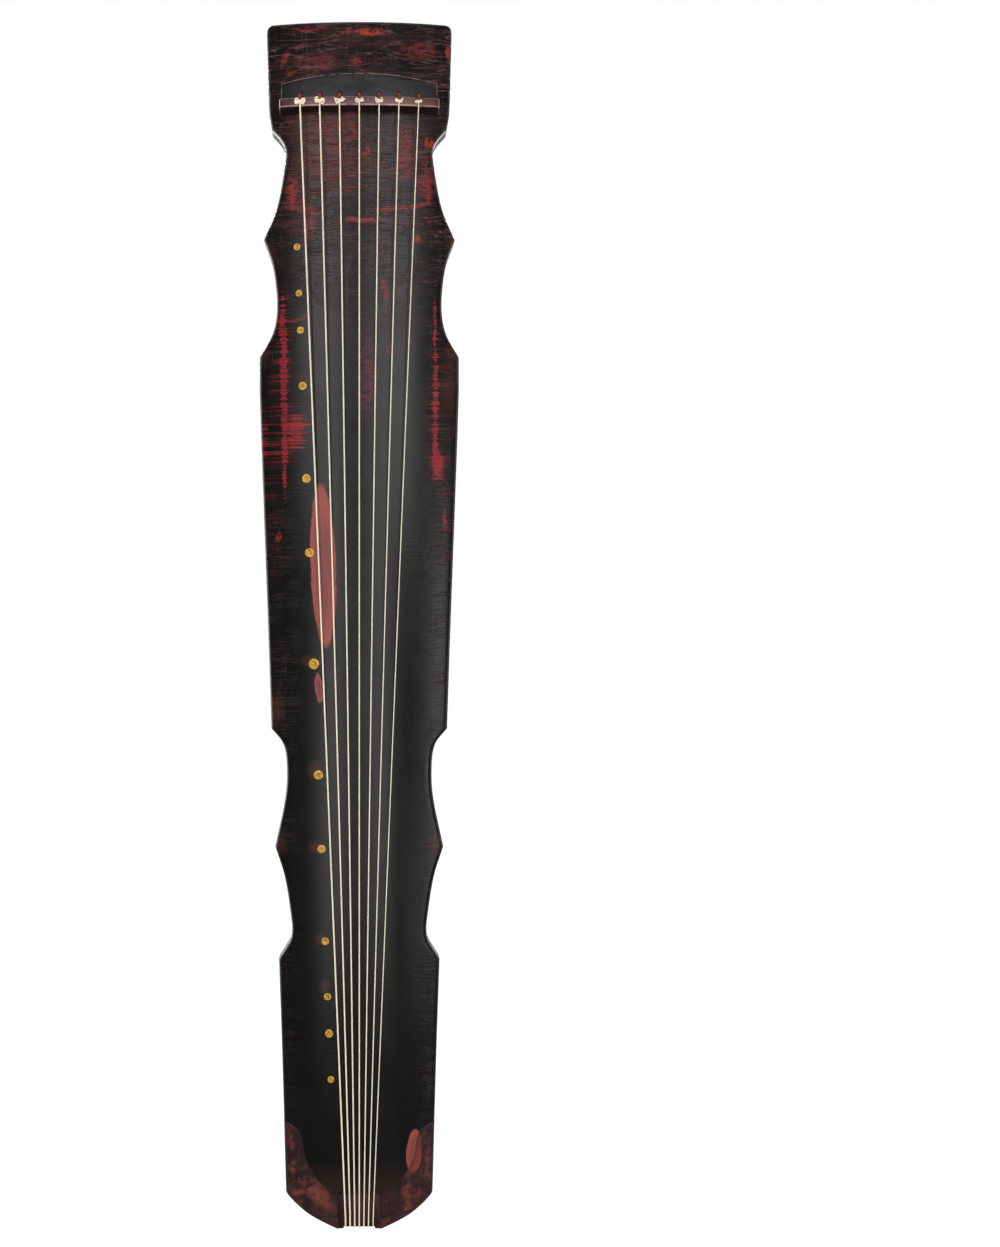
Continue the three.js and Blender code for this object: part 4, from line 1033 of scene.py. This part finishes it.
def top_ring(station, kind):
    half = half_width(station)
    inner = half - WALL
    if kind == "head":
        side, low = rounded_edge(half, 3), 0
    else:
        side, low = [(half - 0.1 * k, SEAM) for k in range(4)], SEAM
    roof = [inner * (1 - k / 8) for k in range(17)]
    under = [(inner, low)] + [(x, under_height(x, station, kind)) for x in roof] + [(-inner, low)]
    ring = top_row(half, station) + [place(x, station, h) for x, h in side + under + mirrored(side)]
    return list(reversed(ring))


def top_board_paint(across, station, facing_back):
    from_side = half_width(station) - abs(across)
    if facing_back > SLANTED and station < HEAD_BLOCK_END + ROW_STEP:
        return EDGE if facing_back < NEARLY_FLAT and from_side < LOWER_ROUND + SEAM_SIDE else BACK
    if facing_back > -SLANTED and abs(station - HEAD_BLOCK_END) < SEAM_SIDE and from_side > 1:
        return BACK
    if ARRIS < station < BODY_LENGTH - ARRIS:
        if facing_back > SLANTED or (facing_back > -SLANTED and from_side > 3):
            return BARE_WOOD
    row = (station - MID_STATION) / MM_PER_PIXEL + FRONT_ROW
    return FRONT_HEAD if row < NECK_ROW else FRONT_BODY if row < WAIST_ROW else FRONT_TAIL


def bottom_board_paint(across, station, facing_back):
    if SLANTED < facing_back < NEARLY_FLAT and half_width(station) - abs(across) < LOWER_ROUND + SEAM_SIDE:
        return EDGE
    return BARE_WOOD if facing_back < -0.9 else BACK


def string_holes():
    """The holes of the strings' cords, each a slanting bore down to its peg."""
    parts = []
    for i in range(STRINGS):
        across = string_across(i, PITCH_AT_BRIDGE)
        mouth = place(across, HOLE_STATION, top_height(across, HOLE_STATION))
        foot = place(across, POOL_STATION, PEG_STRIP_FACE)
        way = (foot - mouth).normalized() * (HOLE_PAST * MM)
        parts.append(tube([mouth - way, mouth, foot, foot + way], lambda *_: HOLE_RADIUS, 24))
    return parts


def tail_notch():
    return box_part(-NOTCH_HALF, NOTCH_HALF, BODY_LENGTH - NOTCH_DEPTH, BODY_LENGTH + PAST, -PAST, CROWN)


def make_top_board():
    rings, start = [], 0
    ends = {HEAD_BLOCK_END: "head", HOLLOW_START: "solid", HOLLOW_END: "hollow", BODY_LENGTH: "solid"}
    for end, kind in ends.items():
        rings += [top_ring(station, kind) for station in stations(start, end)]
        start = end + NEAR
    half = NUT_HALF + NUT_SEAT_GAP
    low, high = nut_top() - NUT_DEPTH, CROWN + 2 * PAST
    seat = box_part(-half, half, NUT_START - NUT_SEAT_GAP, BODY_LENGTH + PAST, low, high)
    materials = [FRONT_HEAD, FRONT_BODY, FRONT_TAIL, BACK, BARE_WOOD, EDGE]
    cuts = (string_holes(), [tail_notch()], [seat])
    piece("top_board", loft(rings), materials, cuts, top_board_paint)


def bottom_ring(station):
    half = half_width(station)
    right = rounded_edge(half, 5)
    middle = [((half - LOWER_ROUND) * (1 - k / 8), 0) for k in range(1, 16)]
    outline = [(half, SEAM)] + right + middle + mirrored(right) + [(-half, SEAM)]
    return [place(x, station, h) for x, h in reversed(outline)]


def pool_part(station, radius):
    """A round sound hole with a softened lip."""
    flare = [(4, -3 * POOL_LIP), (1, -JUST_BELOW), (0.3, 0.35 * POOL_LIP), (0, POOL_LIP), (0, BOTTOM + PAST)]
    outline = [(radius + out * POOL_LIP, height) for out, height in flare]
    return turned(outline, 0, station, 96)


def make_bottom_board():
    rings = [bottom_ring(station) for station in stations(HEAD_BLOCK_END + FIT, BODY_LENGTH)]
    pools = [[pool_part(DRAGON_POOL, DRAGON_RADIUS)], [pool_part(PHOENIX_POOL, PHOENIX_RADIUS)]]
    start, end = POOL_STATION - POOL_HALF_HEIGHT, POOL_STATION + POOL_HALF_HEIGHT
    slot = box_part(-POOL_HALF_WIDTH, POOL_HALF_WIDTH, start, end, -PAST, BOTTOM + PAST)
    cuts = pools + [[slot, tail_notch()]]
    piece("bottom_board", loft(rings), [BACK, BARE_WOOD, EDGE], cuts, bottom_board_paint)


# Bridge, strips, nut, gum rest and crowns.
def make_bridge():
    rings = []
    turn = [radians(15 * n) for n in range(7)]
    foot, tail_edge = BRIDGE_START + BRIDGE_FOOT, BRIDGE_TAIL_EDGE + BRIDGE_LIP
    for across in spread(BRIDGE_HALF, 80):
        top = bridge_top(across) - round_drop(abs(across) - (BRIDGE_HALF - BRIDGE_ROUND), BRIDGE_ROUND)
        middle, level = top - BRIDGE_HEIGHT / 2, top - BRIDGE_ARRIS
        outline = [(BRIDGE_START, top_height(across, BRIDGE_START) - BRIDGE_SUNK), (BRIDGE_START, middle)]
        for a in turn:
            outline.append((BRIDGE_HEAD_EDGE + BRIDGE_ARRIS * (1 - cos(a)), level + BRIDGE_ARRIS * sin(a)))
        for a in reversed(turn):
            outline.append((tail_edge + BRIDGE_ARRIS * cos(a), level + BRIDGE_ARRIS * sin(a)))
        outline += [(foot - BRIDGE_TAPER, middle), (foot, top_height(across, foot) - BRIDGE_SUNK)]
        rings.append([place(across, s, h) for s, h in outline])
    piece("bridge", loft(rings), [BRIDGE_WOOD], crease=60)


def make_string_hole_strip():
    rings = []
    for share in spread(1, 90):
        across = share * STRIP_HALF
        start = STRIP_START - STRIP_RISE * (1 - share * share)
        line = [start + (STRIP_END - start) * n / 10 for n in range(11)]
        lift = STRIP_PROUD - round_drop(abs(across) - (STRIP_HALF - STRIP_PROUD), STRIP_PROUD)
        lifts = [lift / 2] + [lift] * 10
        above = [place(across, s, top_height(across, s) + rise) for s, rise in zip(line, lifts)]
        below = [place(across, s, top_height(across, s) - STRIP_THICKNESS) for s in reversed(line)]
        rings.append(above + below)
    piece("string_hole_strip", loft(rings), [STRIP_BLACK], [string_holes()])


def nut_turn(angle, offset):
    reach, bend = NUT_REACH + offset, NUT_ROUND + offset
    return NUT_CONTACT + reach * sin(angle), nut_top() - NUT_ROUND + bend * cos(angle)


def make_nut():
    """A side outline run across the tail, with softened ends."""
    top = nut_top()
    low = top - NUT_DEPTH
    outline = [(NUT_START, low), (NUT_START, crown_at(NUT_START))]
    outline += [(NUT_START + past, top - below) for past, below in NUT_SLOPE]
    outline += [nut_turn(pi / 2 * k / 14, 0) for k in range(15)] + [(BODY_LENGTH, low)]
    middle = [sum(values) / len(outline) for values in zip(*outline)]
    full = NUT_HALF - NUT_SOFT
    rings = []
    for x, inset in ((-NUT_HALF, NUT_SOFT), (-full, 0), (full, 0), (NUT_HALF, NUT_SOFT)):
        rings.append([place(x, s, h) for s, h in drawn_in(outline, middle, inset * 0.3, inset)])
    piece("nut", loft(rings), [NUT_WOOD], [[tail_notch()]])


def make_gum_rest():
    """A plate with a bell-shaped side to the head."""
    half = NUT_HALF - FIT
    bell = [(half * share, GUM_REST_START + NOTCH_HALF * share * share) for share in spread(1, 24)]
    outline = bell + [(half, BODY_LENGTH), (-half, BODY_LENGTH)]
    middle = (0, (GUM_REST_START + BODY_LENGTH) / 2)
    rings = []
    for shrink, height in GUM_REST_ROWS:
        rings.append([place(x, s, height) for x, s in drawn_in(outline, middle, shrink, shrink)])
    piece("gum_rest", loft(rings), [GUM_WOOD], [[tail_notch()]])


def make_crown(word, side):
    """A veneer over the tail's corner, down over its edge."""
    rings = []
    start, last = CROWN_PIECE_START + CROWN_PIECE_ENDS[0], BODY_LENGTH - CROWN_PIECE_ENDS[1]
    for k in range(73):
        station = start + (last - start) * k / 72
        board = half_width(station)
        half = board + CROWN_PIECE_PROUD
        share = (station - CROWN_PIECE_START) / CROWN_PIECE_LENGTH
        edge = smooth_value(CROWN_EDGE_SHARES, share) * half_width(CROWN_PIECE_START)
        edge = clamped(edge, NUT_HALF + CROWN_PIECE_GAP, half - CROWN_PIECE_LEAST)
        ring = []
        for n in range(15):
            x = edge + (half - edge) * n / 14
            lift = min(0.05 + 0.06 * n, CROWN_PIECE_LIFT)
            ring.append((x, top_height(min(x, board), station) + lift))
        low, deep = top_height(board, station) - CROWN_PIECE_WRAP, CROWN_PIECE_THICKNESS
        ring += [(half, low), (half - deep, low), (edge, top_height(edge, station) - deep)]
        rings.append([place(side * x, station, h) for x, h in ring])
    points, faces = loft(rings)
    if side > 0:
        faces = [tuple(reversed(face)) for face in faces]
    piece(word + "_crown", (points, faces), [CROWN_RED])


# Studs.
def make_stud(k):
    share = STUD_SHARES[k]
    station = BRIDGE_CONTACT + share * (NUT_CONTACT - BRIDGE_CONTACT)
    outer = string_across(0, PITCH_AT_BRIDGE + share * (PITCH_AT_NUT - PITCH_AT_BRIDGE))
    radius = STUD_RADIUS * STUD_RADIUS_SHARES[k]
    outline = [(radius * part, lift) for part, lift in STUD_OUTLINE_SHARES]
    shape = turned(outline, outer - STUD_INSET - STUD_RADIUS, station, STUD_SIDES, on_top=True)
    last = len(shape[1]) - 1
    middle = range(STUD_MIDDLE_ROW * STUD_SIDES, (len(outline) - 1) * STUD_SIDES)
    # The dished middle and its cap take the darker gilt copy: painted shade.
    paints = [1 if face in middle or face == last else 0 for face in range(last + 1)]
    piece("stud_%d" % (k + 1), shape, [GOLD, GOLD_MIDDLE_PAINTED_SHADE], indices=paints, crease=30)


# Strings.
def foot_of(i):
    """The side of a string's foot, and the strings wound above it there."""
    on_left = i < (STRINGS + 1) / 2
    return (-1 if on_left else 1), [k for k in range(STRINGS) if (k < i if on_left else k > i)]


def turn_pitch(i):
    return 2 * string_radius(i) + TURN_GAP


def back_across(i):
    """Under the gum rest the strings draw together into two groups, one for each foot."""
    middle, pitch, middle_string = TAIL_GROUPS[foot_of(i)[0]]
    return middle + (i - middle_string) * pitch


def foot_turns(i, start_point):
    """A string's turns round the neck of its foot, and its loose end."""
    side, above = foot_of(i)
    centre = place(side * FOOT_ACROSS, FOOT_STATION, 0)
    reach = (FOOT_NECK + STRING_CLEARANCE + string_radius(i)) * MM
    to_tail = start_point - centre
    start = atan2(to_tail.z, to_tail.x) - side * acos(reach / hypot(to_tail.x, to_tail.z))
    level = -COLLAR - FIT - string_radius(i) - sum(ceil(TURNS) * turn_pitch(k) for k in above)
    points = []
    for k in range(round(TURNS * TURN_STEPS) + 1):
        turn = k / TURN_STEPS
        angle = start - side * 2 * pi * turn
        height = level - turn * turn_pitch(i)
        points.append(Vector((centre.x + reach * cos(angle), -height * MM, centre.z + reach * sin(angle))))
    chance = random.Random(90 + i)
    tip = points[-1]
    ahead, outward = (tip - points[-2]).normalized(), (tip - centre).normalized()
    long = chance.uniform(*(LONG_LOOSE_ENDS if i in LONG_ENDED else LOOSE_ENDS))
    bow = chance.uniform(-2, 3)
    for k in range(1, 9):
        share = k / 8
        curl = outward * (bow * share * share * MM) + Vector((0, 1, 0)) * (sin(share * pi) * MM)
        points.append(tip + ahead * (long * share * MM) + curl)
    return points


def string_curve(name, lines, radius):
    """One curve of several poly lines, each with the same round section."""
    data = bpy.data.curves.new(name, "CURVE")
    data.dimensions = "3D"
    data.bevel_depth = radius * MM
    data.bevel_resolution = 3
    data.use_fill_caps = True
    data.materials.append(STRING_SILK)
    for line in lines:
        spline = data.splines.new("POLY")
        spline.points.add(len(line) - 1)
        for point, p in zip(spline.points, line):
            point.co = (*p, 1)
    return add_object(name, data)


def knot_lines(i, centre, radius):
    """The fly-head knot: loops like a bow, a tight wrap between them, and two short ends."""
    def spot_at(x, rise, s):
        return centre + Vector((x, -rise, s)) * MM

    chance = random.Random(70 + i)
    lines = []
    for layer in range(3 if i < 2 else 2):
        tilt = radians(chance.uniform(-KNOT_TILT, KNOT_TILT))
        wide, deep = radius * chance.uniform(*KNOT_WIDE), radius * chance.uniform(*KNOT_DEEP)
        lift = radius * (0.2 + 1.1 * layer)
        loop = []
        for k in range(49):
            t = 2 * pi * k / 48
            x, s = wide * sin(t), deep * sin(2 * t) * 0.75
            x, s = x * cos(tilt) - s * sin(tilt), x * sin(tilt) + s * cos(tilt)
            loop.append(spot_at(x, lift + radius * 0.5 * cos(t), -s))
        lines.append(loop)
    wrap = []
    for k in range(61):
        t = 2 * pi * k / 20
        x, rise = (k / 60 - 0.5) * 3 * radius, radius + 1.9 * radius * cos(t)
        wrap.append(spot_at(x, rise, 2.1 * radius * sin(t)))
    lines.append(wrap)
    for side in (-1, 1):
        lean = chance.uniform(-2, 3)
        end = spot_at(side * radius * chance.uniform(*KNOT_ENDS), 2.5 * radius, lean)
        lines.append([spot_at(side * 0.5, radius, 0), spot_at(side * 3, 3 * radius, lean * 0.3), end])
    return lines


def make_string(i):
    """Its knot on the bridge, over the nut, round the tail's end and back to its foot."""
    radius = string_radius(i)
    rest = STRING_CLEARANCE + radius
    on_bridge, on_nut = string_across(i, PITCH_AT_BRIDGE), string_across(i, PITCH_AT_NUT)
    first = place(on_bridge, BRIDGE_CONTACT, bridge_top(on_bridge) + rest)
    knot = place(on_bridge, BRIDGE_MIDDLE, bridge_top(on_bridge) + rest)
    wall = BODY_LENGTH - NOTCH_DEPTH + rest
    leave = asin((wall - NUT_CONTACT) / (NUT_REACH + rest))
    over = [place(on_nut, *nut_turn(leave * k / 8, rest)) for k in range(9)]
    corner = place(on_nut, wall, -GUM_REST_PROUD - rest)
    under = place(back_across(i), NUT_CONTACT - TAIL_GATHER, -GUM_REST_PROUD - rest)
    turns = foot_turns(i, under)
    around = rounded_route([over[-1], corner, under, turns[0]], TAIL_BEND, 6)
    line = [knot, first] + over[:-1] + around[:-1] + turns
    node = "string_%d" % (i + 1)
    curve = string_curve(node + "_fine", [line] + knot_lines(i, knot, radius * 0.9), radius)
    settle(curve, node)


# Feet, peg guards, pegs, and the solids that stay as they are.
def make_turned(node, outline, across, station, material, sides, body=ROOT):
    shape = turned(outline, across, station, sides, caps=False)
    piece(node, shape, [material], body=body, crease=35)


def dress(node, material):
    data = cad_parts[node].data
    data.materials.clear()
    data.materials.append(material)


make_top_board()
make_bottom_board()
make_bridge()
make_string_hole_strip()
make_nut()
make_gum_rest()
for word, side in (("left", -1), ("right", 1)):
    make_crown(word, side)
    make_turned(word + "_goose_foot", FOOT_OUTLINE, side * FOOT_ACROSS, FOOT_STATION, FOOT_WOOD, 72)
    make_turned(word + "_peg_guard", GUARD_OUTLINE, side * GUARD_ACROSS, GUARD_STATION, FITTING_WOOD, 48)
for k in range(len(STUD_SHARES)):
    make_stud(k)
for i in range(STRINGS):
    make_string(i)
    across, number = string_across(i, PITCH_AT_BRIDGE), i + 1
    body = "tuning_peg_%d" % number
    make_turned("peg_%d" % number, PEG_OUTLINE, across, POOL_STATION, PEG_WOOD, 40, body)
for node in ("heaven_post", "earth_post"):
    dress(node, BARE_WOOD)
dress("peg_pool_strip", STRIP_BARE)


# Studio.
def make_light(name, where, size, power, gloss=None):
    """A soft box facing the instrument. Gloss True: only reflections see it. False: only matt surfaces."""
    data = bpy.data.lights.new(name, "AREA")
    data.shape = "RECTANGLE"
    data.size, data.size_y = size
    data.energy = power
    light = add_object(name, data)
    light.location = where
    target = Vector((0, 0, where[2] if abs(where[2]) < 1 else 0))
    light.rotation_euler = (target - Vector(where)).to_track_quat("-Z", "Y").to_euler()
    light.visible_camera = False
    if gloss is not None:
        light.visible_diffuse = not gloss
        light.visible_glossy = gloss


def make_world():
    world = bpy.data.worlds.new("world")
    n = Nodes(world)
    sky = n.mix(n.seen_share(), (WORLD_LEVEL, WORLD_LEVEL, WORLD_LEVEL, 1), WHITE)
    n.feed(n.tree.nodes["Background"].inputs["Color"], sky)
    bpy.context.scene.world = world


def make_floor():
    turn = angles(FLOOR_SIDES)
    rings = [[Vector((r * cos(a), r * sin(a), FLOOR_HEIGHT)) for a in turn] for r in FLOOR_RADII]
    points, faces = loft(rings, caps=False)
    faces.append(tuple(range(FLOOR_SIDES)))
    s = Shader("floor_white")
    s.base = (FLOOR_SHADE, FLOOR_SHADE, FLOOR_SHADE, 1)
    material = s.finish(0.9)
    glow = s.node("Emission", {"Strength": FLOOR_GLOW})[0]
    share = s.times(s.seen_share(), GLOW_SHARE)
    both = s.node("MixShader", {0: share, 1: s.surface.outputs[0], 2: glow})[0]
    s.feed(s.tree.nodes["Material Output"].inputs["Surface"], both)
    mesh_object("floor", (points, faces), [material])


make_light("front_left", (-0.8, -2.2, 0), (0.8, 2.4), 16, False)
make_light("front_right", (0.8, -2.2, 0), (0.8, 2.4), 22, False)
for name, x, width, low, high in (
    ("left", -0.4, 0.38, -1.05, 1.3),
    ("left_upper", -0.8, 0.4, 0.1, 1.3),
    ("right", 0.28, 0.32, -1.05, 1.3),
    ("right_upper", 0.7, 0.5, 0, 1.3),
    ("far_right", 1.6, 0.6, -1.6, 0.1),
    ("tail_right", 1.05, 0.45, -1.7, -0.75),
):
    height = high - low
    where = (x, BAND_PLACE, (low + high) / 2)
    make_light("band_" + name, where, (width, height), BAND_GLOW * width * height, True)
for name, side in (("left", -1), ("right", 1)):
    make_light("rim_" + name, (2.2 * side, 0.3, -0.1), (0.5, 2.6), 50, True)
make_light("back_left", (-0.9, 2.2, 0.3), (0.6, 2.4), 22)
make_light("back_right", (0.8, 2.2, 0.3), (0.6, 2.4), 11)
make_light("edge_left", (-2.2, 1.2, 0), (0.5, 2.6), 90, True)
for name, side in (("left", -1), ("right", 1)):
    make_light("scoop_" + name, (0.88 * side, 2.3, 1.5), (0.32, 0.5), 85, True)
make_light("top", (0, -0.2, 2.6), (1.6, 1.2), 22)
make_world()
make_floor()
bpy.context.scene.view_settings.view_transform = "Standard"
